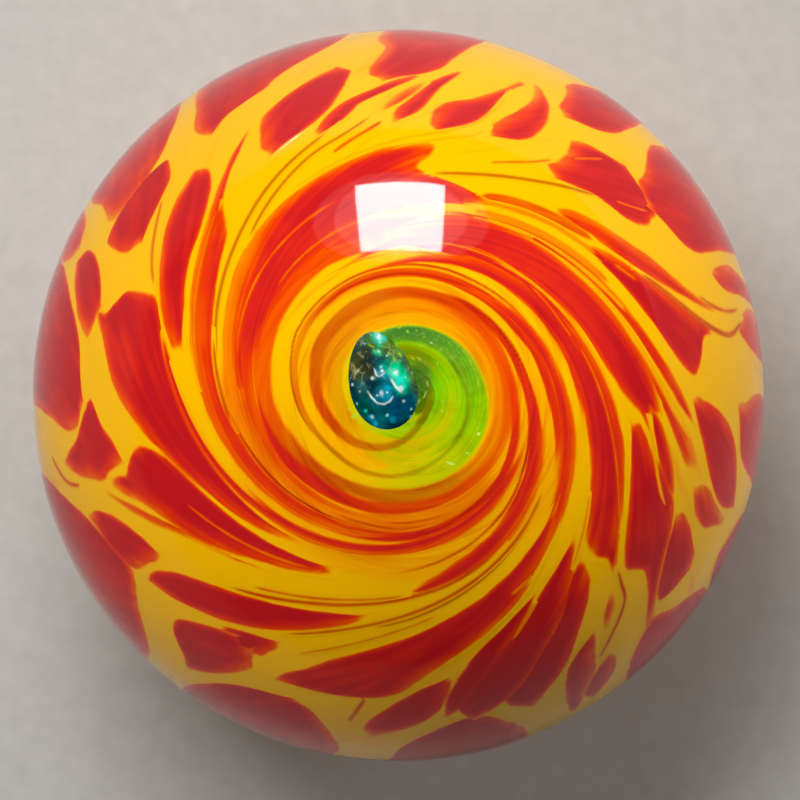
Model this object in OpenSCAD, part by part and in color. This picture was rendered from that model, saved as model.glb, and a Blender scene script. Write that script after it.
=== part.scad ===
// Solid art-glass marble: a yellow ball with coloured frit melted flush into it
// and swirled round its top pole, where a teal chip lies in a green veil.
//
// +Z is the axis of the swirl, and the origin is the ball's centre.
// Places on the ball are longitudes (counter-clockwise from +X, seen from above)
// and colatitudes (0 at the top pole, 90 at the equator), in degrees.

/* [Ball] */
// Diameter of the finished marble
ball_d = 38; // [25:0.5:60]

/* [Swirl] */
// Angle that the glass at colatitude 45 was dragged round the pole
swirl_turn = 34; // [0:1:45]
// How sharply that angle grows towards the pole
swirl_wind = 1.75; // [1.2:0.05:1.9]

/* [Depth of each glass] */
// Depth of the crimson frit, which stayed thick
crimson_depth = 1.2; // [0.6:0.1:2]
// Depth of the scarlet arms, drawn thinner by the swirl
scarlet_depth = 0.8; // [0.4:0.1:1.5]
// Depth of the amber streaks, drawn thinnest
amber_depth = 0.5; // [0.3:0.1:1]
// Depth of the green veil
veil_depth = 1; // [0.4:0.1:1.8]
// Depth of the teal chip
chip_depth = 1.6; // [0.8:0.1:2.5]

/* [Eye] */
// Length of the teal chip
chip_length = 5.1; // [2:0.1:7]
// Width of the teal chip
chip_width = 3.4; // [1.5:0.1:4.5]
// Distance from the pole to the middle of the teal chip
chip_offset = 1.5; // [0:0.1:2.5]
// Radius of the green veil beside the chip
veil_near = 3; // [2.5:0.1:4.5]
// Radius of the green veil at the end of its tail
veil_far = 4.4; // [3:0.1:6]

/* [Underside] */
// Chips in the ring below the equator
lower_chips = 11; // [6:1:14]
// Chips in the ring round the bottom pole
bottom_chips = 5; // [3:1:7]

/* [Hidden] */

ball_r = ball_d / 2;
// Points round a chip's outline, and how many degrees of swirl add one more
outline_points = 20;
degrees_a_point = 4;
// Degrees of longitude between the points of an amber streak
degrees_a_step = 7.5;
eye_points = 40;
// Chips that start nearer to the pole than this are cut along the swirl's own axis
polar_colat = 30;
// Arms reach no chip that starts farther from the pole than this
arm_colat = 54;
// How far a cutter reaches past the surfaces that it cuts
cutter_spare = 0.5;
ball_fn = 180;

// Longitude and direction in which the teal chip lies from the pole, and its lean
chip_lon = 145;
chip_lean = 105;
// How much narrower the chip is at one end than at the other
chip_taper = 0.15;
// Longitude at which the veil is closest to the pole, and how late its tail is widest
veil_start = 205;
veil_lag = 1.4;
// Floor of the deepest pocket
deepest = max(crimson_depth, scarlet_depth, amber_depth, veil_depth, chip_depth);

// How sharply a chip of frit narrows to one of its ends
BLUNT = 0.25;
ROUND = 0.5;
NARROW = 0.75;
POINTED = 1.1;

// Each piece of frit, as it lay before the swirl was wound:
// [longitude and colatitude of its inner end, the same of its outer end,
//  greatest width in degrees of longitude, where along it that lies, its inner and its outer end]
CRIMSON = [
    // the outer row, which runs down over the equator
    [7, 71, 10, 104, 7.5, 0.6, ROUND, ROUND],
    [13.5, 65, 15, 100, 5.5, 0.45, ROUND, ROUND],
    [22, 58.5, 32, 112, 21, 0.55, ROUND, ROUND],
    [48, 62.5, 52, 102, 13.5, 0.5, ROUND, ROUND],
    [78, 60, 85, 108, 15.5, 0.5, ROUND, ROUND],
    [107, 65, 107, 104, 16, 0.5, ROUND, ROUND],
    [114.5, 62, 116, 98, 11, 0.5, ROUND, ROUND],
    [136, 68, 137, 110, 20, 0.5, ROUND, ROUND],
    [152, 74, 153, 103, 7.5, 0.5, ROUND, ROUND],
    [166, 61, 170, 110, 25, 0.45, ROUND, ROUND],
    [200, 61, 209, 112, 34, 0.5, ROUND, ROUND],
    [237, 61.5, 246, 106, 26, 0.45, ROUND, ROUND],
    [268, 64, 277, 110, 26, 0.45, ROUND, ROUND],
    [289.5, 56, 296, 78, 6.5, 0.4, ROUND, ROUND],
    [298.5, 65, 300, 77, 6, 0.5, ROUND, ROUND],
    [309, 67, 318, 108, 17, 0.5, ROUND, ROUND],
    [334, 77, 336, 104, 12, 0.5, ROUND, ROUND],
    [349, 67, 352, 106, 15, 0.5, ROUND, ROUND],
    // the middle row, whole chips between the equator and the arms
    [24, 46.5, 27, 59, 16, 0.5, ROUND, ROUND],
    [35, 50, 37, 60, 8, 0.6, ROUND, ROUND],
    [16, 49.5, 20, 58, 7, 0.35, ROUND, ROUND],
    [42, 48.5, 56, 67, 7.5, 0.3, ROUND, POINTED],
    [54, 47.5, 60, 64, 10, 0.35, ROUND, POINTED],
    [64, 48.5, 70, 63, 6, 0.3, ROUND, POINTED],
    [72.5, 51, 74, 60, 4, 0.4, ROUND, NARROW],
    [80, 48.5, 79, 60, 6, 0.3, ROUND, NARROW],
    [91, 49, 94, 65, 15, 0.5, ROUND, ROUND],
    [2, 41, 4, 62, 11.5, 0.22, ROUND, POINTED],
    [116, 38, 115, 56, 18, 0.5, ROUND, ROUND],
    [136, 33.5, 148, 58, 25, 0.4, ROUND, NARROW],
    [156, 30.5, 169, 51, 21, 0.4, ROUND, ROUND],
    [169, 51.5, 184, 67, 8.5, 0.5, ROUND, ROUND],
    [131, 56, 134, 67, 18, 0.5, ROUND, ROUND],
    [151, 59, 152, 72, 8.5, 0.4, ROUND, ROUND],
    [202, 37, 200, 57, 17, 0.35, ROUND, ROUND],
    [190, 52, 193, 66, 10, 0.4, ROUND, ROUND],
    [215, 48.5, 217, 54.5, 9, 0.6, ROUND, ROUND],
    [217, 55.5, 226, 69, 14, 0.35, ROUND, NARROW],
    [237, 33, 239, 58, 22, 0.55, ROUND, ROUND],
    [248, 37, 248, 52, 6, 0.4, ROUND, ROUND],
    [257, 40, 266, 61, 11, 0.35, ROUND, ROUND],
    [264, 37, 274, 62, 14, 0.4, ROUND, ROUND],
    [275, 42, 284, 63, 14, 0.4, ROUND, ROUND],
    [253, 51.5, 259, 67, 9, 0.4, ROUND, ROUND],
    [301, 39, 315, 53, 17, 0.45, ROUND, ROUND],
    [309, 53, 309, 66, 7, 0.3, ROUND, NARROW],
    [350, 39.5, 351, 57, 15, 0.5, ROUND, ROUND],
    [317, 54.5, 317, 65.5, 11, 0.5, ROUND, ROUND],
    [337.5, 52.5, 337, 73, 12.5, 0.5, ROUND, ROUND],
    [327, 56, 332, 69, 5, 0.4, ROUND, NARROW],
];
SCARLET = [
    [38, 23, 55, 45, 42, 0.6, BLUNT, ROUND],
    [96, 22, 102, 49, 18, 0.35, BLUNT, NARROW],
    [129, 22.5, 126, 40, 13, 0.35, BLUNT, POINTED],
    [186, 21, 197, 33, 22, 0.5, BLUNT, ROUND],
    [228, 20, 240, 36, 15, 0.6, BLUNT, ROUND],
    [277, 24, 288, 48, 29, 0.4, BLUNT, NARROW],
    [318, 24.5, 319, 46, 40, 0.35, BLUNT, NARROW],
    [322, 40, 328, 54, 6, 0.3, ROUND, POINTED],
    [341, 33.5, 332, 55, 8, 0.3, ROUND, POINTED],
    [176, 37, 183, 60, 4, 0.4, ROUND, POINTED],
];
// Each amber streak, which a scarlet arm thins out to round the pole:
// [longitude and colatitude where it starts, the same where it fades out, breadth in degrees]
AMBER = [
    [195, 24.5, 570, 11.5, 2.4],
    [255, 23, 440, 17.5, 1.6],
    [20, 26, 240, 13.5, 0.9],
    [330, 23.5, 420, 20.5, 1.2],
];

// The two rings of frit on the underside, which the swirl doesn't reach
lower_colat = [114, 140];
bottom_colat = [147, 164];
function frit_ring(count, colat, share, shift) = [
    for (i = [0 : count - 1])
        let (lon = 360 * (i + shift) / count, stagger = 4 * (i % 3 - 1))
            [lon, colat[0] + stagger, lon + 4, colat[1] + stagger, share * 360 / count, 0.5, ROUND, ROUND]
];
LOWER = concat(
    frit_ring(lower_chips, lower_colat, 0.6, 0.25),
    frit_ring(bottom_chips, bottom_colat, 0.45, 0.6)
);

// How far round the pole the swirl has dragged the glass at one colatitude
function swirl(colat) = swirl_turn * pow(max(0, cos(colat)) / sin(colat), swirl_wind);

function on_ball(lon, colat) = [sin(colat) * cos(lon), sin(colat) * sin(lon), cos(colat)];

// The same direction seen down an axis through (lon, colat), as x and y across that axis
function across(v, lon, colat) =
    let (along = v.x * cos(lon) + v.y * sin(lon))
        [along * cos(colat) - v.z * sin(colat), v.y * cos(lon) - v.x * sin(lon)];

// One point of a chip's outline before the swirl, as an egg with two kinds of end
function egg_point(chip, a) =
    let (
        reach = cos(a),
        along = chip[5] + reach * (reach > 0 ? 1 - chip[5] : chip[5]),
        half = chip[4] / 2 * sign(sin(a)) * pow(abs(sin(a)), 2 * (reach > 0 ? chip[7] : chip[6]))
    )
        [chip[0] + along * (chip[2] - chip[0]) + half, chip[1] + along * (chip[3] - chip[1])];

// The chips that start near enough to the pole for the arms to reach them
function inner_chips(chips) = [for (chip = chips) if (chip[1] < arm_colat) chip];

function swirled(p) = [p[0] + swirl(p[1]), p[1]];

// The axis that a chip is cut along: the swirl's own near the pole, else through its middle
function cut_axis(chip) = chip[1] < polar_colat ? [0, 0] : swirled([(chip[0] + chip[2]) / 2, (chip[1] + chip[3]) / 2]);

// A straight cutter with this outline, from just under the pockets' floor to just over the ball
module cutter(outline) {
    reach = max([for (p = outline) norm(p)]);
    foot = sqrt(max(0, pow(ball_r, 2) - pow(reach, 2))) * (1 - deepest / ball_r) - cutter_spare;
    translate([0, 0, foot])
        linear_extrude(ball_r + cutter_spare - foot)
            polygon(outline);
}

// Cutters through the ball's surface, one for each chip in the list
module chip_cutters(chips) {
    for (chip = chips) {
        axis = cut_axis(chip);
        points = outline_points + floor((swirl(chip[1]) - swirl(chip[3])) / degrees_a_point);
        rotate([0, axis[1], axis[0]])
            cutter([
                for (i = [0 : points - 1])
                    let (p = swirled(egg_point(chip, 360 * i / points)))
                        ball_r * across(on_ball(p[0], p[1]), axis[0], axis[1])
            ]);
    }
}

// One edge of an amber streak, side being 1 or -1, from where it starts to where it fades out
function streak_edge(streak, side, points) = [
    for (i = [0 : points])
        let (
            t = i / points,
            lon = streak[0] + t * (streak[2] - streak[0]),
            colat = streak[1] + t * (streak[3] - streak[1]) + side * streak[4] / 2 * sqrt(1 - t)
        )
            ball_r * across(on_ball(lon, colat), 0, 0)
];

module streak_cutters(streaks) {
    for (streak = streaks) {
        points = floor((streak[2] - streak[0]) / degrees_a_step);
        outer = streak_edge(streak, 1, points);
        inner = streak_edge(streak, -1, points);
        cutter(concat(outer, [for (i = [points - 1 : -1 : 0]) inner[i]]));
    }
}

module ball() {
    sphere(r = ball_r, $fn = ball_fn);
}

// What is left of a set of cutters above the floor of its pockets
module pockets(depth) {
    difference() {
        children();
        sphere(r = ball_r - depth, $fn = ball_fn);
    }
}

module chip_cutter() {
    cutter([
        for (i = [0 : eye_points - 1])
            let (
                a = 360 * i / eye_points,
                along = chip_length / 2 * cos(a),
                aside = chip_width / 2 * sin(a) * (1 - chip_taper * cos(a))
            )
                [
                    chip_offset * cos(chip_lon) + along * cos(chip_lean) - aside * sin(chip_lean),
                    chip_offset * sin(chip_lon) + along * sin(chip_lean) + aside * cos(chip_lean),
                ]
    ]);
}

// The veil's edge winds outward round the pole, clockwise from beside the chip
module veil_cutter() {
    cutter([
        for (i = [0 : eye_points - 1])
            let (
                turned = i / eye_points,
                r = veil_near + (veil_far - veil_near) * sin(180 * pow(turned, veil_lag))
            )
                [r * cos(veil_start - 360 * turned), r * sin(veil_start - 360 * turned)]
    ]);
}

module chip_pocket() {
    pockets(chip_depth) chip_cutter();
}

module veil_pocket() {
    pockets(veil_depth) difference() {
        veil_cutter();
        chip_cutter();
    }
}

module crimson_pockets() {
    pockets(crimson_depth) chip_cutters(concat(CRIMSON, LOWER));
}

module scarlet_pockets() {
    pockets(scarlet_depth) difference() {
        chip_cutters(SCARLET);
        chip_cutters(inner_chips(CRIMSON));
    }
}

module amber_pockets() {
    pockets(amber_depth) difference() {
        streak_cutters(AMBER);
        chip_cutters(SCARLET);
        veil_cutter();
    }
}

module teal_chip() {
    color("darkcyan") intersection() {
        ball();
        chip_pocket();
    }
}

module green_veil() {
    color("yellowgreen") intersection() {
        ball();
        veil_pocket();
    }
}

module crimson_frit() {
    color("crimson") intersection() {
        ball();
        crimson_pockets();
    }
}

module scarlet_arms() {
    color("orangered") intersection() {
        ball();
        scarlet_pockets();
    }
}

module amber_streaks() {
    color("darkorange") intersection() {
        ball();
        amber_pockets();
    }
}

module yellow_ground() {
    color("gold") difference() {
        ball();
        crimson_pockets();
        scarlet_pockets();
        amber_pockets();
        veil_pocket();
        chip_pocket();
    }
}

yellow_ground();
crimson_frit();
scarlet_arms();
amber_streaks();
green_veil();
teal_chip();
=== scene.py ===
"""Solid art-glass marble: a yellow ball with coloured frit melted into it and swirled round its top pole.

The origin is the ball's centre and +Z is the axis of the swirl. Places on the ball are longitudes,
counter-clockwise from +X seen from above, and colatitudes from the top pole, both in degrees.
Lengths are millimetres until a mesh is made, and metres in the mesh.
"""

import logging
import math
from dataclasses import dataclass, field
from enum import Enum

import bpy
import numpy as np
from mathutils import Matrix, Vector

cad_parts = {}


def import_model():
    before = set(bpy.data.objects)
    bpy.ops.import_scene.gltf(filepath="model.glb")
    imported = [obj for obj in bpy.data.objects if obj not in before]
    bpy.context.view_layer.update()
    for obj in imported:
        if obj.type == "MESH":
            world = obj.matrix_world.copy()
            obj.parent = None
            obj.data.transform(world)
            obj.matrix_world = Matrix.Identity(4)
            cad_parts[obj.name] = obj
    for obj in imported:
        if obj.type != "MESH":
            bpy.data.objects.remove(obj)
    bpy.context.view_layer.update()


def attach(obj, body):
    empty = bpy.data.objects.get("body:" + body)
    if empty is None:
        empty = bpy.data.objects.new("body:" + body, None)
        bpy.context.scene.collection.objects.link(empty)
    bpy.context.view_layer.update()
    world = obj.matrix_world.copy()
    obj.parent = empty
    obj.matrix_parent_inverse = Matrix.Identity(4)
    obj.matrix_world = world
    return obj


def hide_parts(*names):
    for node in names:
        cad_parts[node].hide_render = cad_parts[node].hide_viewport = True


LOG = logging.getLogger("marble")
METRE = 0.001
Array = np.ndarray


class Tint(Enum):
    """Which glass a drawn thread is made of: how much red, and how much umber."""

    STRAW = (0.14, 0.0)
    AMBER = (0.28, 0.1)
    ORANGE = (0.40, 0.3)
    RUST = (0.42, 0.5)
    BROWN = (0.2, 0.8)


# ---------- colours


def linear(code: str) -> tuple[float, float, float, float]:
    """Turns an sRGB hex code into the linear colour that a shader takes.

    Args:
        code: Six hex digits, such as "FFC800".

    Returns:
        Red, green, blue and alpha, each from 0 to 1.
    """
    parts = np.array([int(code[i : i + 2], 16) for i in (0, 2, 4)]) / 255.0
    low = parts / 12.92
    high = ((parts + 0.055) / 1.055) ** 2.4
    red, green, blue = np.where(parts <= 0.04045, low, high)
    return (float(red), float(green), float(blue), 1.0)


# ---------- the ball and its swirl


@dataclass(frozen=True)
class Ball:
    """The round of the marble, and how the hot glass was dragged round its pole."""

    radius: float = 19.0
    turn: float = 34.0
    wind: float = 1.75

    def drag(self, colat: Array) -> Array:
        """Gives how far round the pole the glass was dragged.

        The angle is the turn at colatitude 45 times the wind-th power of the colatitude's cotangent,
        and it is nothing below the equator.

        Args:
            colat: Colatitudes in degrees.

        Returns:
            Degrees of longitude, counter-clockwise.
        """
        angle = np.radians(np.maximum(colat, 0.5))
        return self.turn * (np.maximum(np.cos(angle), 0.0) / np.sin(angle)) ** self.wind

    def across(self, colat: Array) -> Array:
        """Gives the width of one degree of longitude, measured square to the dragged glass.

        It is the length of that arc times the cosine of the slant, whose tangent is how many times
        faster the drag moves round the pole than it moves along the meridian.

        Args:
            colat: Colatitudes in degrees.

        Returns:
            Millimetres for a degree of longitude.
        """
        angle = np.radians(np.clip(colat, 0.5, 179.5))
        cot = np.maximum(np.cos(angle), 0.0) / np.sin(angle)
        slope = math.radians(self.turn) * self.wind * cot ** (self.wind - 1.0) / np.sin(angle)
        return self.radius * np.sin(angle) * math.radians(1.0) / np.sqrt(1.0 + slope**2)

    def points(self, lon: Array, colat: Array, proud: float | Array = 0.0) -> Array:
        """Places longitudes and colatitudes on the ball.

        Args:
            lon: Longitudes in degrees, after the drag.
            colat: Colatitudes in degrees.
            proud: How far outside the ball's surface, in millimetres.

        Returns:
            The points in millimetres, with x, y and z along the last axis.
        """
        east, south = np.radians(lon), np.radians(colat)
        unit = np.stack([np.sin(south) * np.cos(east), np.sin(south) * np.sin(east), np.cos(south)], axis=-1)
        return unit * (self.radius + np.asarray(proud))[..., None]


BALL = Ball()


def smooth(value: Array, low: float, high: float) -> Array:
    """Rises from 0 at low to 1 at high, level at both ends: three squares less two cubes of the share."""
    share = np.clip((value - low) / (high - low), 0.0, 1.0)
    return share * share * (3.0 - 2.0 * share)


# ---------- meshes


class Skin:
    """One mesh in the making: points, faces, and what its finish reads at each point."""

    def __init__(self, name: str) -> None:
        """Starts an empty mesh.

        Args:
            name: Name of the piece.
        """
        self.name = name
        self.points: list[Array] = []
        self.faces: list[Array] = []
        self.values: dict[str, list[Array]] = {}
        self.count = 0

    def add(self, points: Array, faces: list[Array], values: dict[str, Array]) -> None:
        """Adds one closed surface.

        Args:
            points: Its points in millimetres.
            faces: Arrays of point numbers, each with faces of as many corners as it has columns.
            values: For each name, one number or three numbers for each point.
        """
        self.points.append(points)
        self.faces += [block + self.count for block in faces]
        for name, value in values.items():
            self.values.setdefault(name, []).append(value)
        self.count += len(points)

    def finish(self) -> bpy.types.Object:
        """Makes the object, shaded as one round with the ball wherever it reaches the ball's surface.

        A point's normal runs straight out from the ball's centre, or straight in for a point below
        the surface.

        Returns:
            The piece, at the origin, with its place in its mesh.
        """
        mesh = bpy.data.meshes.new(self.name)
        points = np.concatenate(self.points) * METRE
        faces = [face for block in self.faces for face in block.tolist()]
        mesh.from_pydata(points.tolist(), [], faces)
        for name, blocks in self.values.items():
            data = np.concatenate(blocks).astype(np.float32)
            kind, key = ("FLOAT_VECTOR", "vector") if data.ndim == 2 else ("FLOAT", "value")
            layer = mesh.attributes.new(name, kind, "POINT")
            layer.data.foreach_set(key, data.ravel())
        mesh.validate()
        mesh.shade_smooth()
        reach = np.linalg.norm(points, axis=1, keepdims=True)
        outward = np.where(reach > (BALL.radius - 0.2) * METRE, 1.0, -1.0) * points / reach
        mesh.normals_split_custom_set_from_vertices(outward.tolist())
        mesh.update()
        piece = bpy.data.objects.new(self.name, mesh)
        bpy.context.scene.collection.objects.link(piece)
        LOG.info("%s: %d points, %d faces", self.name, len(mesh.vertices), len(mesh.polygons))
        return piece


def round_faces(rings: int, around: int) -> list[Array]:
    """Numbers the faces of a closed surface made of rings between two poles.

    Point 0 is the first pole, then come the rings, and the last point is the other pole. Each ring
    runs counter-clockwise seen from the first pole, and faces point outwards.

    Args:
        rings: How many rings there are.
        around: How many points a ring has.

    Returns:
        The quads between rings, and the triangles at each pole.
    """
    ring = np.arange(rings * around).reshape(rings, around) + 1
    ahead = np.roll(ring, -1, axis=1)
    quads = np.stack([ring[:-1], ring[1:], ahead[1:], ahead[:-1]], axis=-1).reshape(-1, 4)
    first = np.stack([np.zeros(around, int), ring[0], ahead[0]], axis=-1)
    last = np.stack([np.full(around, rings * around + 1), ahead[-1], ring[-1]], axis=-1)
    return [quads, first, last]


def sheet_faces(rows: int, columns: int) -> list[Array]:
    """Numbers the faces of a closed slab: an upper grid, the same grid below it, and the wall between.

    Args:
        rows: Points along the slab.
        columns: Points across it.

    Returns:
        Quads that point outwards, for upper points first and then lower points, row by row.
    """
    grid = np.arange(rows * columns).reshape(rows, columns)
    under = grid + rows * columns
    top = np.stack([grid[:-1, :-1], grid[1:, :-1], grid[1:, 1:], grid[:-1, 1:]], axis=-1).reshape(-1, 4)
    below = [under[:-1, :-1], under[:-1, 1:], under[1:, 1:], under[1:, :-1]]
    bottom = np.stack(below, axis=-1).reshape(-1, 4)
    rim = np.concatenate([grid[0, :-1], grid[:-1, -1], grid[-1, :0:-1], grid[:0:-1, 0]])
    ahead = np.roll(rim, -1)
    wall = np.stack([rim, ahead, ahead + rows * columns, rim + rows * columns], axis=-1)
    return [top, bottom, wall]


# ---------- nodes


Socket = bpy.types.NodeSocket


class Recipe:
    """The nodes of one finish, added one at a time."""

    def __init__(self, name: str) -> None:
        """Starts a material with nothing but its output.

        Args:
            name: Name of the real finish.
        """
        self.material = bpy.data.materials.new(name)
        self.material.use_nodes = True
        self.tree = self.material.node_tree
        self.tree.nodes.clear()

    def add(self, kind: str, inputs: dict | None = None, **settings: object) -> bpy.types.Node:
        """Adds one node.

        Args:
            kind: The node's type name.
            inputs: For each input's name or number, a value or the socket that feeds it.
            settings: The node's own options.

        Returns:
            The new node.
        """
        node = self.tree.nodes.new(kind)
        for name, value in settings.items():
            setattr(node, name, value)
        for key, value in (inputs or {}).items():
            if isinstance(value, Socket):
                self.tree.links.new(value, node.inputs[key])
            else:
                node.inputs[key].default_value = value
        return node

    def math(self, operation: str, *values: float | Socket, clamp: bool = False) -> Socket:
        """Works out one number from up to three."""
        node = self.add("ShaderNodeMath", dict(enumerate(values)), operation=operation, use_clamp=clamp)
        return node.outputs[0]

    def times(self, first: float | Socket, second: float | Socket) -> Socket:
        """Multiplies two numbers."""
        return self.math("MULTIPLY", first, second)

    def read(self, name: str, parts: bool = False) -> Socket | list[Socket]:
        """Reads what the mesh keeps at each point.

        Args:
            name: Name of the attribute.
            parts: Whether it holds three numbers.

        Returns:
            The number, or the list of three.
        """
        node = self.add("ShaderNodeAttribute", attribute_name=name)
        if not parts:
            return node.outputs["Fac"]
        return list(self.add("ShaderNodeSeparateXYZ", {0: node.outputs["Vector"]}).outputs)

    def painted(self, name: str) -> Socket:
        """Reads a colour that the mesh keeps at each point."""
        return self.add("ShaderNodeAttribute", attribute_name=name).outputs["Color"]

    def rise(self, value: Socket, low: float, high: float, start: float = 0.0, stop: float = 1.0) -> Socket:
        """Moves smoothly from start to stop while the value goes from low to high."""
        node = self.add(
            "ShaderNodeMapRange",
            {"Value": value, "From Min": low, "From Max": high, "To Min": start, "To Max": stop},
            interpolation_type="SMOOTHSTEP",
        )
        return node.outputs["Result"]

    def noise(
        self, vector: Socket, scale: float, detail: float = 2.0, rough: float = 0.5, warp: float = 0.0
    ) -> Socket:
        """Gives cloudy noise between 0 and 1."""
        node = self.add(
            "ShaderNodeTexNoise",
            {"Vector": vector, "Scale": scale, "Detail": detail, "Roughness": rough, "Distortion": warp},
        )
        return node.outputs["Fac"]

    def mix(self, share: float | Socket, a: Socket | tuple, b: Socket | tuple, blend: str = "MIX") -> Socket:
        """Mixes two colours."""
        node = self.add("ShaderNodeMix", data_type="RGBA", blend_type=blend, clamp_factor=True)
        for key, value in (("Factor_Float", share), ("A_Color", a), ("B_Color", b)):
            socket = next(s for s in node.inputs if s.identifier == key)
            if isinstance(value, Socket):
                self.tree.links.new(value, socket)
            else:
                socket.default_value = value
        return next(s for s in node.outputs if s.identifier == "Result_Color")

    def ramp(self, share: Socket, stops: tuple[tuple[float, str], ...]) -> Socket:
        """Gives the colour that the stops, each a place and a hex code, have at the share."""
        node = self.add("ShaderNodeValToRGB", {0: share})
        elements = node.color_ramp.elements
        while len(elements) < len(stops):
            elements.new(1.0)
        for element, (place, code) in zip(elements, stops):
            element.position = place
            element.color = linear(code)
        return node.outputs["Color"]

    def place(self) -> Socket:
        """Gives the point's place on the piece, in metres."""
        return self.add("ShaderNodeTexCoord").outputs["Object"]

    def glass(self, colour: Socket, roughness: float, bump: Socket | None = None, **sockets: object) -> None:
        """Ends the finish in one shader with a plain gloss.

        Args:
            colour: The base colour.
            roughness: How rough the gloss is.
            bump: What turns the normal, if anything does.
            sockets: Other values of the shader's own sockets, with _ for a space in their names.
        """
        inputs = {"Base Color": colour, "Roughness": roughness}
        inputs |= {name.replace("_", " "): value for name, value in sockets.items()}
        if bump is not None:
            inputs["Normal"] = bump
        shader = self.add("ShaderNodeBsdfPrincipled", inputs)
        self.add("ShaderNodeOutputMaterial", {"Surface": shader.outputs[0]})


# ---------- the glass


# What red glass laid over the yellow looks like, from none of it to its full depth
RED_OVER_YELLOW = (
    (0.00, "FFBE00"),
    (0.10, "FFAE00"),
    (0.24, "FA8C00"),
    (0.40, "F26000"),
    (0.58, "EA3A04"),
    (0.78, "DA241A"),
    (1.00, "C4181E"),
)
# What clear green glass laid over the yellow looks like, from none of it to its full depth
GREEN_OVER_YELLOW = (
    (0.00, "FFBE00"),
    (0.25, "E1C800"),
    (0.50, "B4CD00"),
    (0.75, "82C800"),
    (1.00, "5FAF14"),
)
# What umber glass takes away from the colour below it
UMBER = "C0985A"


@dataclass(frozen=True)
class SwirlGlass:
    """Opaque soft glass with red drawn over yellow: streaked along the swirl, under a fire-polished gloss."""

    name: str
    roughness: float = 0.045
    shine: float = 0.12
    streak: float = 0.1
    blotch: float = 0.1
    ringed: float = 0.07

    def flow(self, recipe: Recipe) -> tuple[Socket, Socket]:
        """Finds where a point's glass lay before the swirl.

        The longitude is turned back by the drag, which is the turn times the wind-th power of the
        height over the distance from the axis, and goes on as a point of the unit circle.

        Args:
            recipe: The finish being made.

        Returns:
            A vector that runs along the streaks, and the distance from the axis in millimetres.
        """
        x, y, z = recipe.add("ShaderNodeSeparateXYZ", {0: recipe.place()}).outputs
        squares = recipe.math("ADD", recipe.times(x, x), recipe.times(y, y))
        reach = recipe.math("SQRT", squares)
        height = recipe.math("MAXIMUM", z, 0.0)
        cot = recipe.math("DIVIDE", height, recipe.math("MAXIMUM", reach, 0.0012))
        drag = recipe.times(recipe.math("POWER", cot, BALL.wind), math.radians(BALL.turn))
        lon = recipe.math("SUBTRACT", recipe.math("ARCTAN2", y, x), drag)
        east = recipe.math("COSINE", lon)
        north = recipe.math("SINE", lon)
        south = recipe.times(z, 22.0)
        vector = recipe.add("ShaderNodeCombineXYZ", {0: east, 1: north, 2: south}).outputs[0]
        return vector, recipe.times(reach, 1000.0)

    def shade(self, recipe: Recipe, red: Socket, umber: Socket, green: Socket) -> None:
        """Ends the recipe: turns what glass lies there into a colour and adds the gloss.

        Args:
            recipe: The finish being made.
            red: How deep the red glass lies, from 0 to 1.
            umber: How far the glass is darkened to umber.
            green: How deep the clear green lies over it.
        """
        colour = self.colour(recipe, red, umber, green)
        recipe.glass(colour, self.roughness, Specular_IOR_Level=self.shine)

    def colour(self, recipe: Recipe, red: Socket, umber: Socket, green: Socket) -> Socket:
        """Gives the colour of red and green glass over yellow, darkened by the umber."""
        colour = recipe.ramp(red, RED_OVER_YELLOW)
        colour = recipe.mix(recipe.rise(green, 0.0, 0.3), colour, recipe.ramp(green, GREEN_OVER_YELLOW))
        return recipe.mix(umber, colour, recipe.mix(1.0, colour, linear(UMBER), "MULTIPLY"))


@dataclass(frozen=True)
class GroundGlass(SwirlGlass):
    """The opaque yellow that the ball is made of, with faint orange threads drawn along the swirl."""

    def material(self) -> bpy.types.Material:
        """Makes the material of the yellow glass and of the windings in it."""
        recipe = Recipe(self.name)
        red, umber, green = recipe.read("melt", parts=True)
        red, umber = self.drawn(recipe, red, umber)
        self.shade(recipe, red, umber, green)
        return recipe.material

    def rings(self, recipe: Recipe, reach: Socket, fine: float = 1.0) -> Socket:
        """Gives cloudy noise drawn out round the pole: it changes every 0.4 mm outwards, every 6 mm round."""
        x, y, _ = recipe.add("ShaderNodeSeparateXYZ", {0: recipe.place()}).outputs
        turns = [recipe.times(value, 160.0) for value in (x, y)]
        outward = recipe.times(reach, 2.6 * fine)
        place = recipe.add("ShaderNodeCombineXYZ", {0: turns[0], 1: turns[1], 2: outward}).outputs[0]
        return recipe.noise(place, 1.0, 3.0, 0.65)

    def drawn(self, recipe: Recipe, red: Socket, umber: Socket) -> tuple[Socket, Socket]:
        """Draws faint threads into the ground: along the swirl, but round the pole inside the ring."""
        vector, reach = self.flow(recipe)
        threads = recipe.noise(vector, 9.0, 4.0, 0.6)
        faint = recipe.rise(threads, 0.56, 0.82, 0.0, 0.22)
        faint = recipe.times(faint, recipe.rise(reach, 6.5, 8.5))
        red = recipe.math("MAXIMUM", red, faint)
        rings = self.rings(recipe, reach)
        within = recipe.rise(reach, 8.0, 9.8, 1.0, 0.0)
        swing = recipe.times(recipe.rise(rings, 0.3, 0.7, -self.ringed, self.ringed), within)
        red = recipe.math("ADD", red, swing, clamp=True)
        shade = recipe.times(recipe.rise(rings, 0.5, 0.72, 0.0, 0.28), within)
        return red, recipe.math("ADD", umber, shade, clamp=True)


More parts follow.
